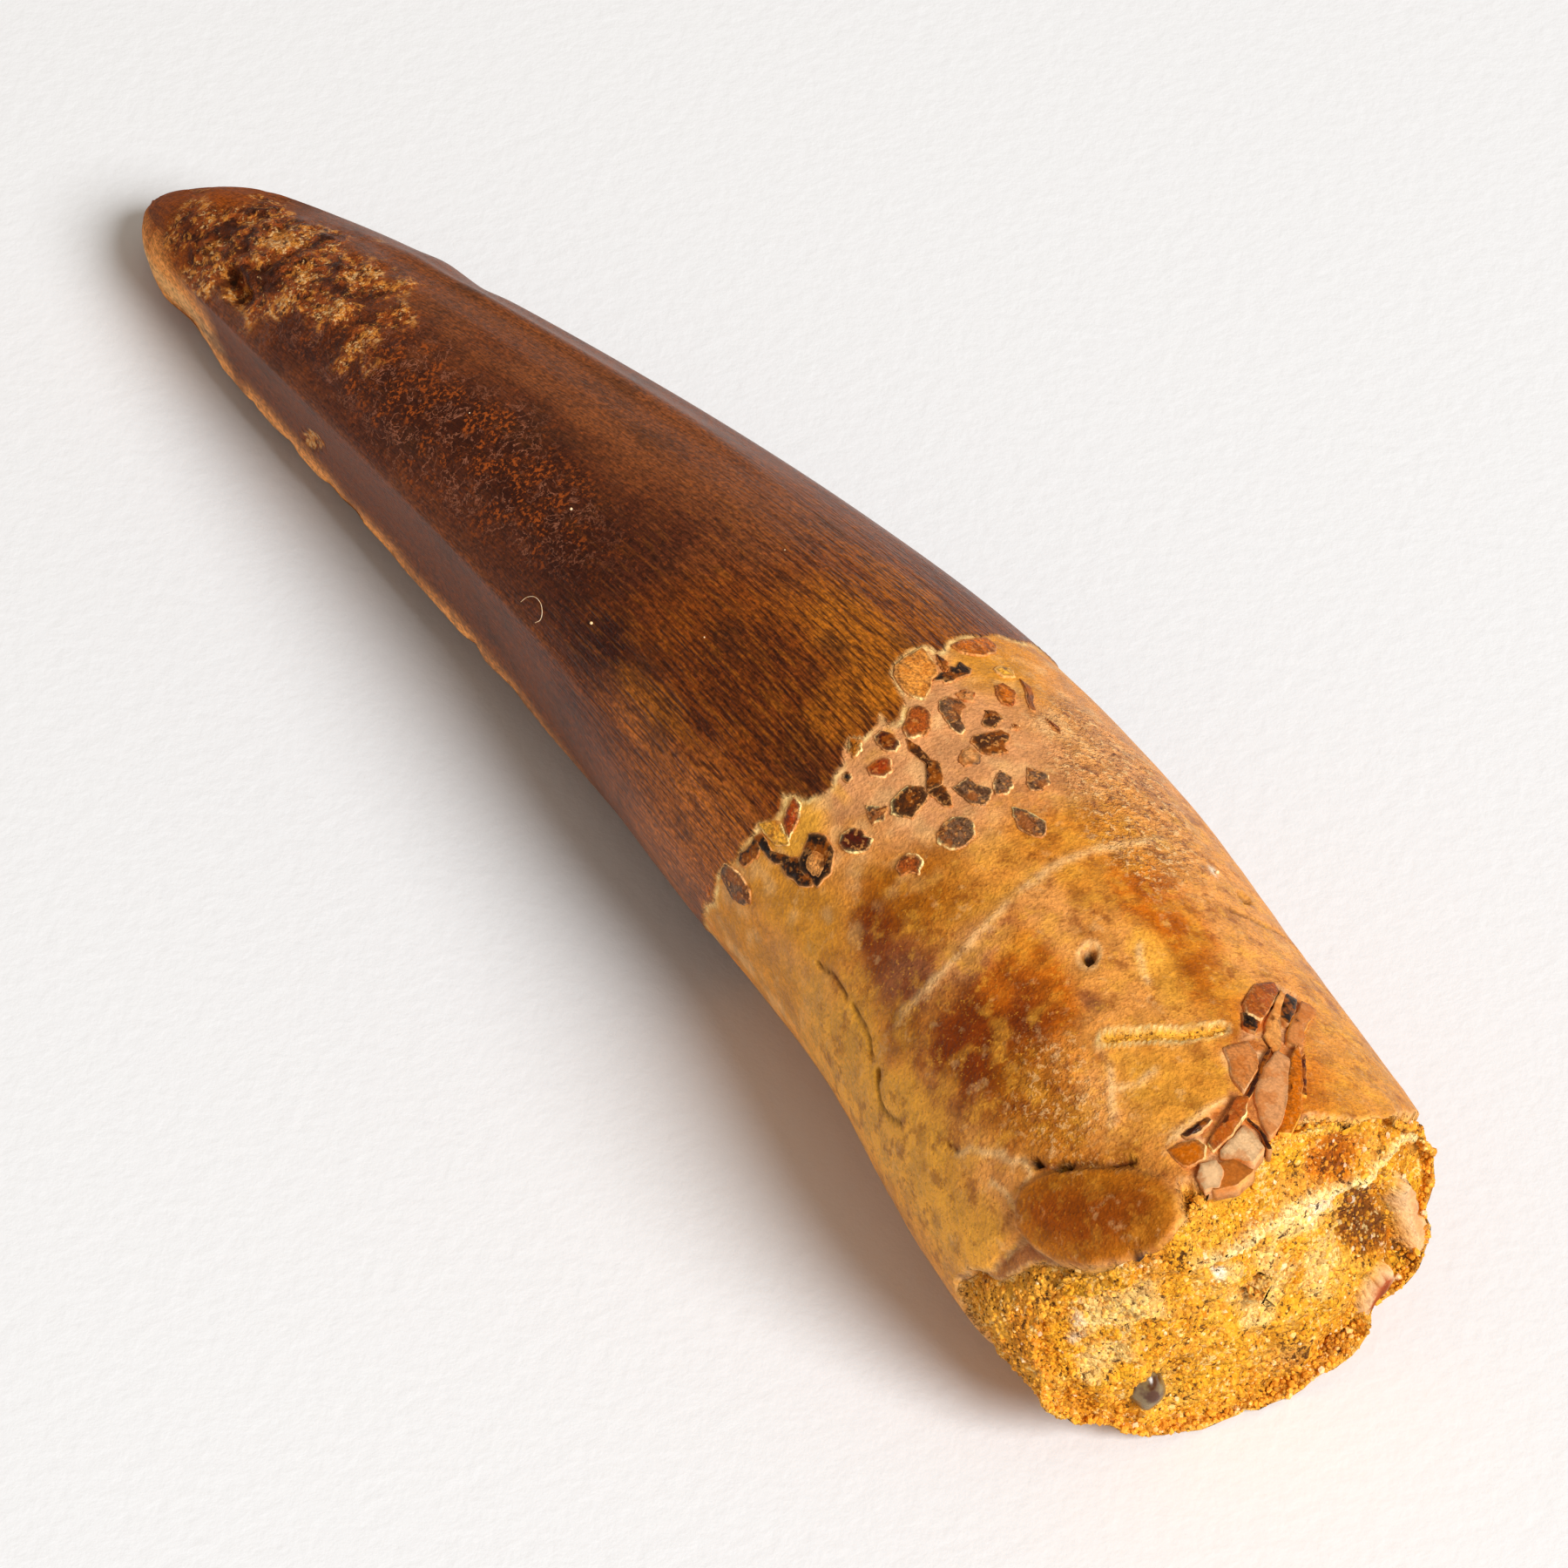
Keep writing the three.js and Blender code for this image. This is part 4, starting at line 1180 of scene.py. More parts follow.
def outline_points(outline, rounding, jitter, rng):
    """Points spaced evenly round a closed outline, pulled towards the mean of their neighbours to round
    its corners, and moved in and out by a little noise."""
    path = np.asarray([*outline, outline[0]], float)
    length = np.append(0, np.cumsum(np.hypot(*np.diff(path, axis=0).T)))
    at = np.linspace(0, length[-1], RING_POINTS, endpoint=False)
    ring = np.stack([np.interp(at, length, path[:, 0]), np.interp(at, length, path[:, 1])], -1)
    for _ in range(rounding):
        ring = ring / 2 + (np.roll(ring, 1, 0) + np.roll(ring, -1, 0)) / 4
    shake = rng.normal(0, jitter, (RING_POINTS, 2))
    ring = ring + (shake + np.roll(shake, 1, 0)) / 2
    clockwise = np.sum(ring[:, 0] * np.roll(ring[:, 1], -1) - ring[:, 1] * np.roll(ring[:, 0], -1)) < 0
    return ring[::-1] if clockwise else ring


def on_skin(place, height):
    """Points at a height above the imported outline, at places on the unrolled skin: the wall's point plus
    the height times the outward direction, which is the cross product of its two slopes."""
    a, t = from_chart(place)
    here, step = wall(a, t), 0.05
    normal = np.cross(wall(a, t + step) - here, wall(a + step, t) - here)
    normal /= np.linalg.norm(normal, axis=-1, keepdims=True)
    return here + normal * height[..., None]


def plates(table, profile, rounding, jitter, seed):
    """Plates as one set of arrays. The profile has a row for each ring: how far it shrinks inwards in
    millimetres (the last row shrinks to under half), its height, and how much of the plate's own colour
    it has. The rings shrink towards the middle, and the two end rings close in a fan each."""
    rng = np.random.default_rng(seed)
    shrink, levels, inner = np.array(profile).T
    rows = len(profile)
    points, quads, fans, colours, mottles = [], [], [], [], []
    for index, (collar, name, mottle, lift, tilt, outline) in enumerate(table):
        first = index * (rows * RING_POINTS + 2)
        ring = outline_points(outline, rounding, jitter, rng)
        centre = ring.mean(0)
        reach = np.hypot(*(ring - centre).T)
        share = np.where(shrink[:, None] >= TO_MIDDLE, MIDDLE_SHARE,
                         np.clip(1 - shrink[:, None] / reach, 0.02, None))
        at = centre + (ring - centre)[None] * share[..., None]
        level = levels[:, None] + lift + ((at - centre) * np.array(tilt)).sum(-1)
        level = np.where(levels[:, None] < BURIED, levels[:, None], level)
        shell = on_skin(at, level - INSET)
        points.append(with_end_points(shell))
        quads.append(ring_faces(rows, RING_POINTS, first)[0])
        fans += end_fans(rows, RING_POINTS, first)
        lap = 2 * np.pi * np.arange(RING_POINTS) / RING_POINTS
        wave = rng.normal(0, 1, 3) @ np.cos(np.outer([1, 2, 3], lap) + rng.uniform(0, 6, (3, 1)))
        squeezed = smooth(wave, -1.0, 1.2)[None, :, None]
        edge = TINT[collar] * squeezed + (TINT[name] * 0.35 + TINT["filler"] * 0.65) * (1 - squeezed)
        rimmed = 1 - 0.5 * bell(shrink, 0.1, 0.1)
        colour = edge * (1 - inner)[:, None, None] + TINT[name] * (rimmed * inner)[:, None, None]
        colour = np.concatenate([colour.reshape(-1, 3), TINT[name][None], TINT[name][None]])
        colours.append(opaque(colour))
        mottles.append(np.full(len(colour), mottle))
    return (np.concatenate(points), [np.concatenate(quads), np.concatenate(fans)],
            {"stain": np.concatenate(colours), "mottle": np.concatenate(mottles)})


print("points on the skin's crest at 40 mm:", on_skin(np.array([[40.0, 0.0]]), np.zeros(1)).round(2))

# %% [markdown]
# Each chip is given by the colour of its collar, its own colour, how mottled it is, how far it stands
# out, how it tilts, and its outline on the unrolled skin.

# %% Neck chips
FLAT = (0.0, 0.0)
CHIPS = [
    ("cream", "gold", 0.8, 0.05, FLAT, [(71.1, 2.4), (71.9, 2.35), (72.7, 2.2), (73.4, 1.9), (73.6, 1.4),
     (74.2, 1.0), (74.7, 0.4), (74.5, 0.1), (73.6, -0.1), (72.2, 0.1), (71.6, 0.6), (71.3, 1.6)]),
    ("filler", "black", 0.5, 0.0, FLAT, [(73.0, 3.5), (73.8, 3.7), (74.1, 3.3), (74.0, 2.9), (74.25, 2.3),
     (74.2, 1.9), (73.9, 1.9), (73.7, 1.5), (73.4, 2.0), (73.5, 2.5), (73.1, 2.8), (73.4, 3.1)]),
    ("rust", "dark", 0.6, 0.0, FLAT, [(71.9, 2.75), (72.6, 2.85), (73.2, 2.7), (73.4, 2.3), (72.6, 2.45)]),
    ("pale", "yellow", 0.6, 0.02, FLAT, [(74.2, 5.9), (74.9, 5.7), (74.8, 5.0), (74.1, 4.9), (73.9, 5.4)]),
    ("filler", "plum", 0.4, 0.0, FLAT, [(75.1, 5.9), (75.9, 6.0), (76.7, 5.65), (77.4, 5.2), (78.0, 5.0),
     (77.7, 4.8), (77.0, 5.05), (76.3, 5.45), (75.7, 5.7)]),
    ("rust", "burnt", 0.8, 0.03, FLAT, [(75.4, 4.6), (76.2, 4.8), (76.9, 4.3), (77.2, 3.9), (76.8, 3.6),
     (76.2, 3.7), (75.5, 4.1)]),
    ("rust", "filler", 0.4, 0.02, FLAT, [(75.15, 2.5), (75.6, 2.7), (76.05, 2.3), (75.9, 1.95),
     (75.25, 1.9)]),
    ("pale", "slate", 1.0, 0.0, FLAT, [(75.2, 1.4), (75.7, 1.8), (76.3, 1.75), (76.6, 1.35), (77.2, 0.95),
     (77.8, 0.95), (78.0, 0.5), (77.3, 0.35), (76.6, 0.5), (75.9, 0.55), (75.3, 0.9)]),
    ("filler", "dark", 0.9, 0.0, FLAT, [(77.0, 2.5), (77.4, 2.9), (78.0, 2.95), (78.2, 2.5), (78.55, 2.2),
     (78.2, 1.9), (77.8, 1.85), (77.5, 2.3)]),
    ("filler", "dark", 1.0, 0.02, FLAT, [(78.8, 2.35), (79.2, 2.55), (79.6, 2.35), (79.8, 1.95),
     (80.35, 1.85), (80.35, 1.2), (79.9, 0.75), (79.3, 0.65), (78.8, 0.65), (78.45, 1.1), (78.7, 1.7)]),
    ("slate", "filler", 0.5, 0.0, FLAT, [(79.1, 0.45), (79.9, 0.55), (80.3, 0.2), (80.1, -0.45),
     (79.5, -0.45), (79.1, -0.05)]),
    ("pale", "slate", 1.0, 0.0, FLAT, [(81.9, 2.1), (82.5, 2.5), (82.9, 2.8), (83.4, 2.5), (83.75, 1.9),
     (83.4, 1.45), (82.8, 1.55), (82.4, 1.8)]),
    ("pale", "slate", 1.0, 0.0, FLAT, [(81.4, 0.85), (82.1, 1.05), (82.7, 0.85), (83.05, 0.3),
     (82.8, -0.15), (82.3, -0.05), (81.9, 0.2)]),
    ("pale", "slate", 1.0, 0.0, FLAT, [(80.9, -0.75), (81.5, -0.65), (82.3, -0.15), (82.9, -0.65),
     (83.05, -1.0), (82.5, -1.45), (81.8, -1.55), (81.0, -1.65)]),
    ("cream", "slate", 1.0, 0.0, FLAT, [(84.0, 0.1), (84.6, 0.55), (85.3, 0.75), (85.9, 0.95), (86.6, 0.65),
     (86.75, 0.3), (86.2, -0.05), (85.5, -0.35), (84.8, -0.25)]),
    ("cream", "slate", 1.0, 0.02, FLAT, [(82.75, -2.6), (83.2, -2.05), (83.9, -1.95), (84.55, -2.4),
     (84.75, -3.0), (84.4, -3.65), (83.7, -3.85), (83.1, -3.65), (82.75, -3.1)]),
    ("cream", "rust", 0.9, 0.02, FLAT, [(82.95, -5.4), (83.3, -5.05), (83.9, -4.95), (84.2, -5.3),
     (84.45, -5.6), (83.9, -5.8), (83.7, -6.25), (83.3, -6.25), (82.95, -5.9)]),
    ("pale", "rust", 0.8, 0.03, FLAT, [(75.0, 0.0), (75.7, 0.15), (76.4, -0.3), (77.05, -0.8),
     (76.85, -1.2), (76.6, -1.65), (76.0, -1.6), (75.4, -1.0), (74.9, -0.5)]),
    ("filler", "dark", 0.6, 0.0, FLAT, [(76.6, -1.75), (77.6, -1.5), (78.6, -1.55), (79.1, -1.3),
     (79.8, -1.6), (80.6, -1.95), (80.3, -2.7), (79.9, -2.1), (79.1, -1.8), (78.3, -1.9), (77.4, -2.05)]),
    ("filler", "dark", 0.6, 0.0, FLAT, [(80.5, -1.95), (81.3, -2.0), (82.05, -2.2), (81.8, -2.5),
     (81.0, -2.65), (80.35, -2.7)]),
    ("pale", "wine", 0.5, 0.02, FLAT, [(75.25, -2.4), (75.9, -2.1), (76.7, -2.15), (76.95, -2.6),
     (76.6, -2.9), (75.9, -2.95), (75.35, -2.85)]),
    ("pale", "red", 0.6, 0.02, FLAT, [(76.85, -3.3), (77.3, -3.05), (77.85, -3.3), (77.95, -3.85),
     (77.4, -4.25), (76.85, -4.15), (76.75, -3.7)]),
    ("cream", "gold_brown", 0.7, 0.02, FLAT, [(74.55, -3.8), (75.1, -3.45), (75.55, -3.75), (75.75, -4.25),
     (75.2, -4.25)]),
    ("cream", "dark", 1.0, 0.02, FLAT, [(79.45, -3.2), (80.0, -2.75), (80.6, -2.85), (80.95, -3.4),
     (81.25, -4.1), (80.7, -4.45), (80.2, -4.75), (79.6, -4.35), (79.35, -3.7)]),
    ("cream", "slate", 1.0, 0.0, FLAT, [(78.75, -5.4), (79.3, -5.05), (79.6, -4.7), (79.9, -4.85),
     (80.15, -5.3), (79.9, -5.75), (79.3, -5.65)]),
    ("cream", "wine", 0.9, 0.04, FLAT, [(79.1, -7.2), (79.3, -6.7), (79.8, -6.35), (80.2, -6.45),
     (80.7, -6.25), (80.95, -6.7), (80.6, -7.35), (80.0, -7.65), (79.4, -7.65)]),
    ("cream", "red", 0.8, 0.03, FLAT, [(75.15, -7.75), (75.7, -7.75), (76.2, -8.25), (76.65, -9.0),
     (76.75, -9.45), (76.2, -9.25), (75.7, -9.05), (75.3, -8.5)]),
    ("filler", "black", 0.5, 0.0, FLAT, [(77.5, -8.5), (77.9, -8.1), (78.6, -7.9), (79.5, -8.05),
     (79.95, -8.55), (80.35, -9.0), (80.25, -10.0), (79.3, -10.1), (78.6, -10.15), (78.1, -9.7),
     (77.9, -9.2)]),
    ("dark", "tan", 1.0, 0.04, FLAT, [(78.6, -8.9), (79.2, -8.6), (79.8, -9.0), (79.9, -9.6), (79.3, -9.8),
     (78.7, -9.7), (78.5, -9.3)]),
    ("filler", "black", 0.5, -0.01, FLAT, [(74.7, -10.9), (75.1, -10.4), (75.6, -10.4), (76.3, -10.6),
     (77.0, -10.4), (77.3, -10.1), (77.6, -10.5), (77.0, -10.95), (76.2, -11.1), (75.4, -11.0)]),
    ("filler", "black", 0.5, -0.01, FLAT, [(77.2, -10.2), (78.1, -9.8), (79.0, -10.1), (79.8, -10.0),
     (79.9, -10.3), (79.2, -10.75), (78.0, -10.95), (77.3, -10.8)]),
    ("filler", "black", 0.5, 0.0, FLAT, [(74.8, -10.8), (75.6, -11.0), (75.7, -11.6), (75.45, -11.8),
     (75.5, -12.2), (75.2, -12.6), (74.8, -12.6), (74.5, -12.2), (74.9, -11.6)]),
    ("pale", "slate", 1.0, 0.02, FLAT, [(73.85, -13.4), (74.6, -13.15), (75.5, -13.15), (76.3, -13.35),
     (76.75, -13.9), (76.3, -14.45), (75.5, -14.75), (74.7, -14.55), (74.0, -14.2), (73.75, -13.8)]),
    ("pale", "black", 0.5, 0.0, FLAT, [(76.2, -5.0), (76.7, -4.95), (76.85, -5.3), (76.4, -5.4)]),
    ("cream", "yellow", 0.8, 0.0, FLAT, [(74.45, -10.15), (75.0, -9.45), (75.6, -9.25), (76.5, -9.4),
     (77.0, -9.7), (76.4, -10.2), (75.4, -10.3)]),
    ("pale", "rust", 0.8, 0.0, FLAT, [(78.6, 3.2), (78.85, 3.4), (79.1, 3.15), (78.85, 2.95)]),
    ("filler", "rust", 0.8, 0.0, FLAT, [(78.7, 5.2), (79.5, 5.5), (80.0, 5.2), (79.5, 5.0)]),
    ("filler", "burnt", 0.8, 0.0, FLAT, [(72.85, -15.6), (73.5, -15.35), (73.85, -16.2), (73.4, -16.95),
     (72.95, -16.3)]),
    ("filler", "burnt", 0.8, 0.02, FLAT, [(71.2, 6.4), (71.9, 6.5), (72.6, 6.0), (72.8, 5.0), (72.3, 4.1),
     (71.5, 3.9), (71.2, 4.9)]),
]
CHIP_PROFILE = [(-0.05, -0.5, 0), (-0.06, -0.03, 0), (0.0, 0.03, 0), (0.03, 0.02, 0.7), (0.12, 0.035, 0.92),
                (0.26, 0.045, 1), (TO_MIDDLE, 0.05, 1)]
chip_points, chip_faces, chip_fields = plates(CHIPS, CHIP_PROFILE, 0, 0.04, 300)
chips = add_mesh("neck_chips", chip_points, chip_faces, **chip_fields)
print("chips:", len(CHIPS), "faces:", len(chips.data.polygons))

# %% [markdown]
# The shattered wall of the root is a fan of splinters, each tilted its own way, over a shallow hollow.

# %% Root splinters
SPLINTERS = [
    ("pale", "rust", 0.6, 0.1, (0.06, 0.02), [(101.7, 4.3), (100.6, 5.6), (100.6, 7.0), (101.3, 6.8),
     (102.3, 5.6), (103.1, 4.5), (102.4, 4.1)]),
    ("rust", "black", 0.2, 0.02, FLAT, [(102.3, 3.9), (102.5, 4.6), (103.1, 4.5), (103.7, 3.8),
     (103.1, 3.4)]),
    ("tan", "black", 0.2, 0.1, FLAT, [(101.5, 7.2), (102.0, 7.6), (102.9, 6.8), (103.7, 5.8), (103.1, 5.6),
     (102.3, 6.1)]),
    ("black", "tan", 0.4, 0.06, (0.0, 0.12), [(101.3, 6.8), (101.8, 6.8), (102.7, 5.9), (103.8, 5.3),
     (105.0, 4.6), (105.3, 4.0), (104.0, 4.1), (102.8, 5.2)]),
    ("yellow", "glass", 0.3, 0.1, (0.03, 0.08), [(102.1, 7.8), (102.8, 8.4), (103.6, 7.3), (104.3, 6.5),
     (105.4, 5.6), (104.8, 5.0), (103.7, 5.9), (102.9, 6.9)]),
    ("ivory", "glass", 0.4, 0.08, (0.02, -0.05), [(104.0, 1.8), (104.1, 3.2), (105.1, 3.1), (106.0, 2.6),
     (106.9, 1.3), (105.8, 1.2), (104.9, 1.6)]),
    ("ivory", "rose", 0.3, 0.08, (0.02, 0.05), [(106.0, 2.9), (105.2, 4.1), (106.1, 4.5), (107.2, 3.6),
     (108.6, 2.7), (109.6, 1.8), (110.0, 1.0), (108.9, 1.1), (107.9, 1.4), (107.1, 1.8)]),
    ("yellow", "burnt", 0.6, 0.14, (0.0, 0.1), [(105.3, 5.3), (106.1, 5.0), (107.6, 4.2), (109.4, 3.0),
     (110.3, 2.0), (109.9, 1.5), (108.6, 2.6), (107.0, 3.8), (105.8, 4.6)]),
    ("yellow", "wine", 0.4, 0.18, (0.0, 0.1), [(105.9, 5.3), (107.0, 4.8), (108.5, 3.9), (108.1, 3.6),
     (106.8, 4.3)]),
    ("tan", "core", 0.1, 0.04, FLAT, [(104.9, 4.05), (105.5, 3.45), (106.35, 2.62), (107.45, 1.27),
     (107.35, 1.13), (106.15, 2.4), (105.3, 3.3)]),
    ("tan", "core", 0.1, 0.04, FLAT, [(108.4, 0.62), (109.5, 0.92), (110.7, 0.66), (110.65, 0.52),
     (109.5, 0.76), (108.45, 0.46)]),
    ("pale", "core", 0.1, 0.04, FLAT, [(107.4, -2.4), (107.3, -0.9), (107.6, -0.8), (107.8, -1.6),
     (107.7, -2.3)]),
    ("cream", "rust", 0.5, 0.16, (0.0, 0.12), [(108.6, -1.6), (107.8, -0.3), (107.1, 0.8), (107.5, 1.2),
     (108.3, 0.6), (108.9, -0.5), (109.2, -1.6)]),
    ("glass", "ivory", 0.25, 0.06, (0.0, 0.08), [(109.3, -1.4), (109.0, -0.4), (108.7, 0.3), (109.5, 0.4),
     (110.5, 0.4), (110.9, -0.5), (110.2, -1.0), (109.8, -1.6)]),
    ("tan", "neck_tan", 0.25, 0.04, FLAT, [(110.2, -1.1), (111.3, -0.6), (111.6, -1.7), (111.1, -2.7),
     (110.2, -2.6), (109.9, -1.7)]),
    ("rose", "ivory", 0.15, 0.12, (-0.05, 0.1), [(109.5, -2.5), (109.8, -1.8), (110.5, -1.8), (111.2, -2.4),
     (110.8, -3.0), (110.0, -3.0)]),
    ("cream", "burnt", 0.4, 0.06, (0.0, 0.06), [(107.7, -3.3), (107.8, -2.5), (108.2, -1.9), (108.8, -1.8),
     (109.3, -2.2), (109.2, -3.0), (108.6, -3.3)]),
]
SPLINTER_PROFILE = [(-0.06, -0.8, 0), (-0.05, -0.1, 0), (0.0, 0.0, 0), (0.04, 0.02, 0.9), (0.3, 0.03, 1),
                    (TO_MIDDLE, 0.04, 1)]
splinter_points, splinter_faces, splinter_fields = plates(SPLINTERS, SPLINTER_PROFILE, 0, 0.03, 400)
splinters = add_mesh("root_splinters", splinter_points, splinter_faces, **splinter_fields)
print("splinters:", len(SPLINTERS), "faces:", len(splinters.data.polygons))

# %% [markdown]
# Both share one stone finish. Strongly mottled pieces are flecked with tan, like dark enamel seen
# through its own cracks.

# %% Finish of chips and splinters
chip_finish, b, shader = new_finish("chip_stone")
where = b.where()
cloudy, grainy = clouds(b, 0.9, 0.16)
mottle = b.field("mottle")
tone = b.times_plus(b.times(grainy, mottle), 1.1, b.times_plus(mottle, -0.4, 0.95))
colour = b.shade(b.field("stain", "Color"), tone)
stripe = b.noise(b.stretch(where, (0.4, 1.0, 1.0)), 2300.0, 3.0, 0.65)
colour = b.lay_all(colour, [
    ("burnt", b.span(cloudy, 0.45, 0.9, 0.0, 0.45)),
    ("dark", b.times(mottle, b.span(stripe, 0.5, 0.36, 0.0, 0.7))),
    ("tan", b.times(mottle, b.span(b.noise(where, 3300.0, 2.0), 0.56, 0.66, 0.0, 0.6))),
])
height = b.times(b.times(grainy, mottle), 0.03)
b.plug(shader.inputs, {"Base Color": colour, "Roughness": b.span(cloudy, 0, 1, 0.28, 0.45),
                       "Normal": b.bump(height), "Specular IOR Level": SATIN})
for piece in (chips, splinters):
    piece.data.materials.append(chip_finish)
print("chip finish nodes:", len(chip_finish.node_tree.nodes))

# %% [markdown]
# ## Loose sand
#
# Each grain is a squashed twenty-sided ball with its own size, turn and shade, half sunk in the sand. So
# small a shape is enough, because there are thousands. Places are drawn at random over the sandy part of
# the skin, with the chance of a face in step with its area.

# %% Sand grains
GRAINS, GRAIN_SEED = 7200, 77
GRAIN_RADIUS, GRAIN_SMALLEST, GRAIN_LARGEST, GRAIN_SUNK = 0.115, 0.06, 0.26, 0.4
GRAIN_SPREAD, GRAIN_STRETCH, GRAIN_DENTS = 0.35, 0.3, 0.12  # shares of the size
GRAIN_SHADES = {"yellow": 0.27, "sand": 0.31, "cream": 0.07, "brown": 0.16, "white": 0.02, "dark": 0.17}
OWN_SHADE, SHARED_STAIN = 0.45, 0.55


def ball20():
    """The twenty-sided ball: its corners are the cyclic turns of (0, ±1, ±golden ratio), made one long."""
    g = (1 + math.sqrt(5)) / 2
    corners = np.array([(-1, g, 0), (1, g, 0), (-1, -g, 0), (1, -g, 0), (0, -1, g), (0, 1, g),
                        (0, -1, -g), (0, 1, -g), (g, 0, -1), (g, 0, 1), (-g, 0, -1), (-g, 0, 1)])
    sides = np.array([(0, 11, 5), (0, 5, 1), (0, 1, 7), (0, 7, 10), (0, 10, 11), (1, 5, 9), (5, 11, 4),
                      (11, 10, 2), (10, 7, 6), (7, 1, 8), (3, 9, 4), (3, 4, 2), (3, 2, 6), (3, 6, 8),
                      (3, 8, 9), (4, 9, 5), (2, 4, 11), (6, 2, 10), (8, 6, 7), (9, 8, 1)])
    return corners / np.linalg.norm(corners[0]), sides


def copies(faces, corners, count):
    """The faces of one small shape repeated for a number of copies, which have so many corners each."""
    return (np.arange(count)[:, None, None] * corners + faces).reshape(-1, 3)


def random_turns(count, rng):
    """Random rotations: unit quaternions drawn evenly, written out as matrices."""
    q = rng.normal(size=(4, count))
    w, x, y, z = q / np.linalg.norm(q, axis=0)
    return np.stack([1 - 2 * (y * y + z * z), 2 * (x * y - w * z), 2 * (x * z + w * y),
                     2 * (x * y + w * z), 1 - 2 * (x * x + z * z), 2 * (y * z - w * x),
                     2 * (x * z - w * y), 2 * (y * z + w * x), 1 - 2 * (x * x + y * y)],
                    -1).reshape(count, 3, 3)


print("one ball has", len(ball20()[0]), "corners and", len(ball20()[1]), "triangles")

# %% [markdown]
# Seats are drawn first, then sizes, stretches, dents, turns and shades. The same seed always gives the
# same sand.

# %% Grains in their seats
rng = np.random.default_rng(GRAIN_SEED)
sandiness = np.concatenate([np.where(skin < -0.2, 1.0, 0.0), np.where(bone > -0.1, 0.0, 1.0)])
sandiness[:WALL_ROWS] = np.maximum(sandiness[:WALL_ROWS], 0.5 * (groove > 0.8))
sideways = np.roll(skin_points, -1, 1)[:-1] - skin_points[:-1]
cells_area = np.linalg.norm(np.cross(sideways, skin_points[1:] - skin_points[:-1]), axis=-1)
chance = (cells_area * sandiness[:-1] * (skin_points[:-1, :, 2] > 0.25)).ravel()
picked = rng.choice(chance.size, GRAINS, p=chance / chance.sum())
row, column = np.divmod(picked, COLUMNS)
u, v = rng.random((2, GRAINS, 1))
nextc = (column + 1) % COLUMNS
seat = ((1 - u) * (1 - v) * skin_points[row, column] + u * (1 - v) * skin_points[row + 1, column]
        + (1 - u) * v * skin_points[row, nextc] + u * v * skin_points[row + 1, nextc])
size = rng.lognormal(math.log(GRAIN_RADIUS), GRAIN_SPREAD, GRAINS)
size = np.clip(size, GRAIN_SMALLEST, GRAIN_LARGEST)
stretch = 1 + rng.uniform(-GRAIN_STRETCH, GRAIN_STRETCH, (GRAINS, 1, 3))
corners, sides = ball20()
dents = 1 + rng.uniform(-GRAIN_DENTS, GRAIN_DENTS, (GRAINS, len(corners), 1))
shapes = corners[None] * dents * stretch * size[:, None, None]
shapes = np.einsum("gij,gkj->gki", random_turns(GRAINS, rng), shapes)
grain_points = seat[:, None] - normals[row, column][:, None] * (GRAIN_SUNK * size)[:, None, None] + shapes
grain_points = inside_box(grain_points)
shade = rng.choice(list(GRAIN_SHADES), GRAINS, p=list(GRAIN_SHADES.values()))
grain_tint = OWN_SHADE * np.array([TINT[name] for name in shade]) + SHARED_STAIN * stain[row, column]
grain_faces = copies(sides, len(corners), GRAINS)
grains = add_mesh("sand_grains", grain_points.reshape(-1, 3), [grain_faces],
                  stain=np.repeat(opaque(grain_tint), len(corners), 0))
grains.data.polygons.foreach_set("use_smooth", np.zeros(len(grain_faces), bool))
print("grains:", GRAINS, "triangles:", len(grain_faces))

# %% [markdown]
# Quartz sand is matt and a little cloudy. The grains carry their own colours, and the finish only
# makes each lighter or darker from place to place.

# %% Finish of the sand
sand_finish, b, shader = new_finish("quartz_sand")
cloudy, grainy = clouds(b, 0.8, 0.12)
colour = b.shade(b.field("stain", "Color"), b.times_plus(grainy, 0.45, 0.78))
b.plug(shader.inputs, {"Base Color": colour, "Roughness": b.span(cloudy, 0, 1, 0.4, 0.65),
                       "Specular IOR Level": SATIN})
grains.data.materials.append(sand_finish)
print("sand finish nodes:", len(sand_finish.node_tree.nodes))

# %% [markdown]
# ## A pebble, dust and a fibre
#
# A smoky quartz pebble is stuck low in the break. A few specks of dust and one curled fibre lie on the
# crown, as they do on any specimen from a drawer.

# %% Pebble
PEBBLE_AT, PEBBLE_HALF = (-7.1, 3.9), (0.9, 0.95, 1.3)  # place on the break, half sizes


def bumpy_ball(half, rows, columns, bump, seed):
    """Ball with three half sizes: sines and cosines of the turn around and the height angle, pushed in
    and out by lumps. The first and last rings are small, and a fan closes each."""
    up = np.linspace(0.04, 0.96, rows)[:, None] * np.pi
    side = np.linspace(0, 2 * np.pi, columns, endpoint=False)[None]
    ball = np.stack([np.sin(up) * np.cos(side), np.sin(up) * np.sin(side), -np.cos(up) + 0 * side], -1)
    ball = ball * (1 + bump * lumps(ball, 0.8, seed))[..., None] * np.array(half)
    return with_end_points(ball), [ring_faces(rows, columns)[0], *end_fans(rows, columns)]


seat_point = skin_points[WALL_ROWS:].reshape(-1, 3)
nearest = np.argmin(np.hypot(seat_point[:, 1] - PEBBLE_AT[0], seat_point[:, 2] - PEBBLE_AT[1]))
ball, ball_faces = bumpy_ball(PEBBLE_HALF, 24, 36, 0.16, 95)
pebble = add_mesh("quartz_pebble", ball + seat_point[nearest] - [0.05, 0, 0], ball_faces)
print("pebble at, mm:", [round(float(v), 1) for v in seat_point[nearest]])

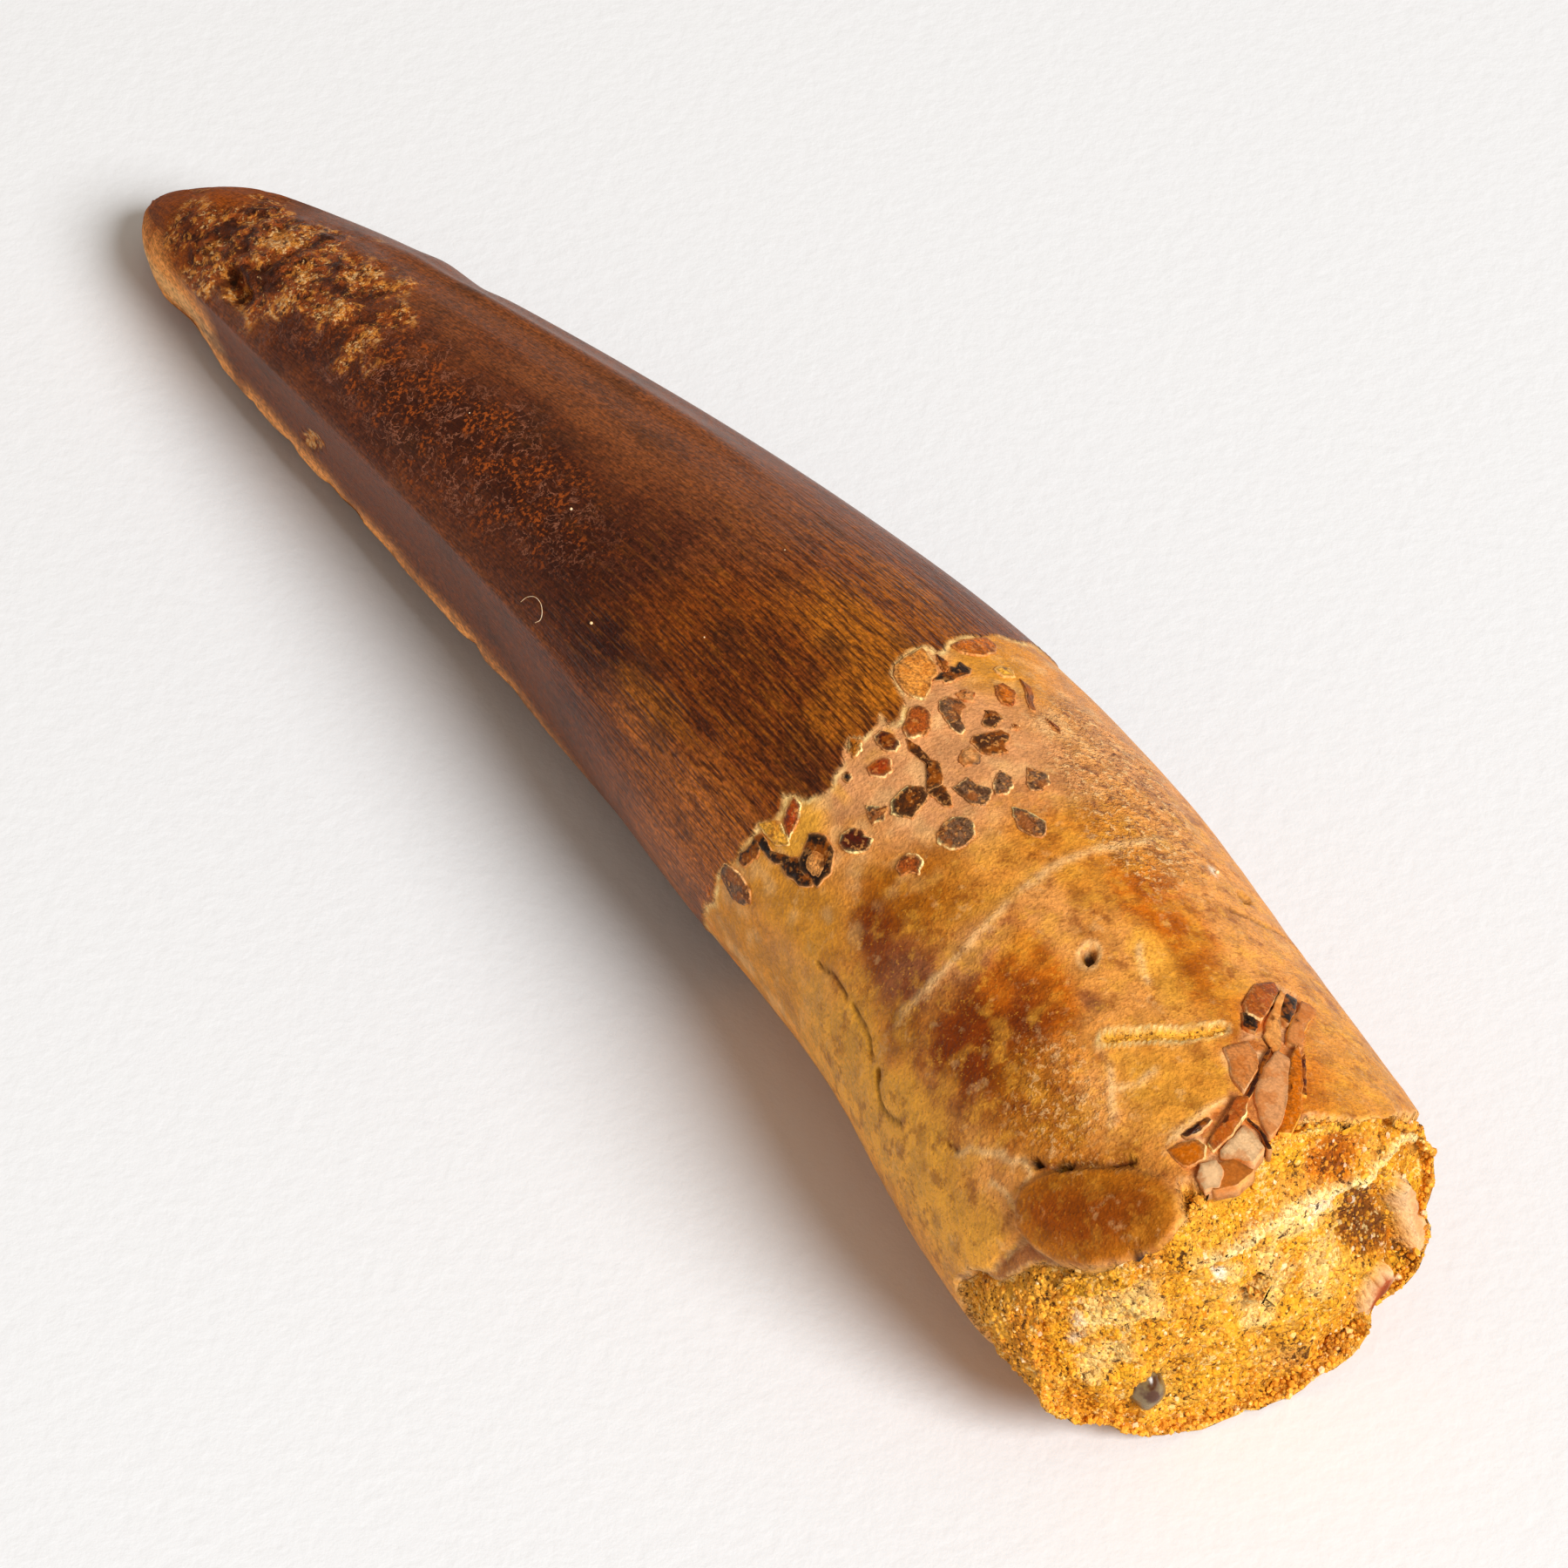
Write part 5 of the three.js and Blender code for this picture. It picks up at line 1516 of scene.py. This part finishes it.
# %% [markdown]
# Specks of dust are the sand's twenty-sided ball again. The fibre is a thin tube along a curl that
# lifts off the enamel a little, and a fan closes each of its ends.

# %% Dust and fibre
DUST = [((48.3, -4.4), 0.09), ((55.7, -8.5), 0.1), ((59.8, 1.2), 0.06), ((25.5, 4.0), 0.06),
        ((37.0, -3.4), 0.05), ((62.5, -5.2), 0.05), ((91.9, 8.6), 0.13)]
FIBRE = np.array([(50.2, -10.2), (50.5, -9.7), (51.0, -9.4), (51.6, -9.5), (52.1, -9.9), (52.3, -10.3),
                  (52.1, -10.6)])
FIBRE_RADIUS, FIBRE_STEPS, FIBRE_SIDES = 0.016, 48, 8
DUST_ROUGHNESS = 0.8

speck_places = np.array([spot_at for spot_at, _ in DUST])
speck_sizes = np.array([radius for _, radius in DUST])
speck_seats = on_skin(speck_places, speck_sizes * 0.4 - INSET)
speck_points = speck_seats[:, None] + corners * speck_sizes[:, None, None]
curl = np.linspace(0, len(FIBRE) - 1, FIBRE_STEPS)
curl_place = np.stack([through(np.arange(len(FIBRE)), FIBRE[:, i], curl) for i in (0, 1)], -1)
curl_line = on_skin(curl_place, 0.05 * np.sin(curl * 1.3) + 0.09 - INSET)
forward = np.gradient(curl_line, axis=0)
forward /= np.linalg.norm(forward, axis=1, keepdims=True)
sideways = np.cross(forward, [0, 0, 1])
sideways /= np.linalg.norm(sideways, axis=1, keepdims=True)
upward = np.cross(forward, sideways)
hoop = np.linspace(0, 2 * np.pi, FIBRE_SIDES, endpoint=False)[None, :, None]
tube = curl_line[:, None] + FIBRE_RADIUS * (np.cos(hoop) * sideways[:, None]
                                            + np.sin(hoop) * upward[:, None])
tube_first = speck_points.size // 3
tube_quads = ring_faces(FIBRE_STEPS, FIBRE_SIDES, tube_first)[0]
dirt_points = np.concatenate([speck_points.reshape(-1, 3), tube.reshape(-1, 3), curl_line[[0, -1]]])
speck_faces = copies(sides, len(corners), len(DUST))
dirt = add_mesh("dust_and_fibre", dirt_points,
                [speck_faces, tube_quads, *end_fans(FIBRE_STEPS, FIBRE_SIDES, tube_first)])

curl_length = np.linalg.norm(np.diff(curl_line, axis=0), axis=1).sum()
print("specks:", len(DUST), " fibre, mm long:", round(float(curl_length), 1))

# %% [markdown]
# The pebble is the only glossy piece, because quartz breaks with a glassy face. Dust is matt.

# %% Finishes of the pebble and the dust
quartz_finish, b, shader = new_finish("smoky_quartz")
smoke = b.noise(b.where(), 900.0, 3.0)
b.plug(shader.inputs, {"Base Color": b.mix(b.span(smoke, 0.4, 0.6), "dark", "smoke"),
                       "Roughness": b.span(smoke, 0.3, 0.7, 0.12, 0.3)})
pebble.data.materials.append(quartz_finish)
dirt_finish, b, shader = new_finish("dust")
lint = b.span(b.noise(b.where(), 4000.0), 0.3, 0.7)
b.plug(shader.inputs, {"Base Color": b.mix(lint, "pale", "white"), "Roughness": DUST_ROUGHNESS})
dirt.data.materials.append(dirt_finish)
print("materials:", len(bpy.data.materials))

# %% [markdown]
# ## The table, and the pieces on their body
#
# The table is a plain pale sheet. Every piece of the tooth rides on its one body.

# %% Table and body
FLOOR_HALF = 1.5  # metres
PAPER_COLOUR, PAPER_ROUGHNESS = (0.86, 0.87, 0.885, 1), 0.9
PAPER_FIBRE, PAPER_RELIEF = 0.0002, 0.28  # metres, and the share of that height that shows
floor_mesh = bpy.data.meshes.new("table")
floor_corners = [(x * FLOOR_HALF, y * FLOOR_HALF, 0) for x, y in ((-1, -1), (1, -1), (1, 1), (-1, 1))]
floor_mesh.from_pydata(floor_corners, [], [(0, 1, 2, 3)])
floor = bpy.data.objects.new("table", floor_mesh)
bpy.context.scene.collection.objects.link(floor)
paper, b, shader = new_finish("pale_paper")
fibre = b.noise(b.where(), 900.0, 4.0, 0.6)
b.plug(shader.inputs, {"Base Color": PAPER_COLOUR, "Roughness": PAPER_ROUGHNESS,
                       "Normal": b.bump(fibre, PAPER_FIBRE, PAPER_RELIEF)})
floor_mesh.materials.append(paper)

for piece in (tooth, chips, splinters, grains, pebble, dirt):
    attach(piece, "root")
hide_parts("tooth")
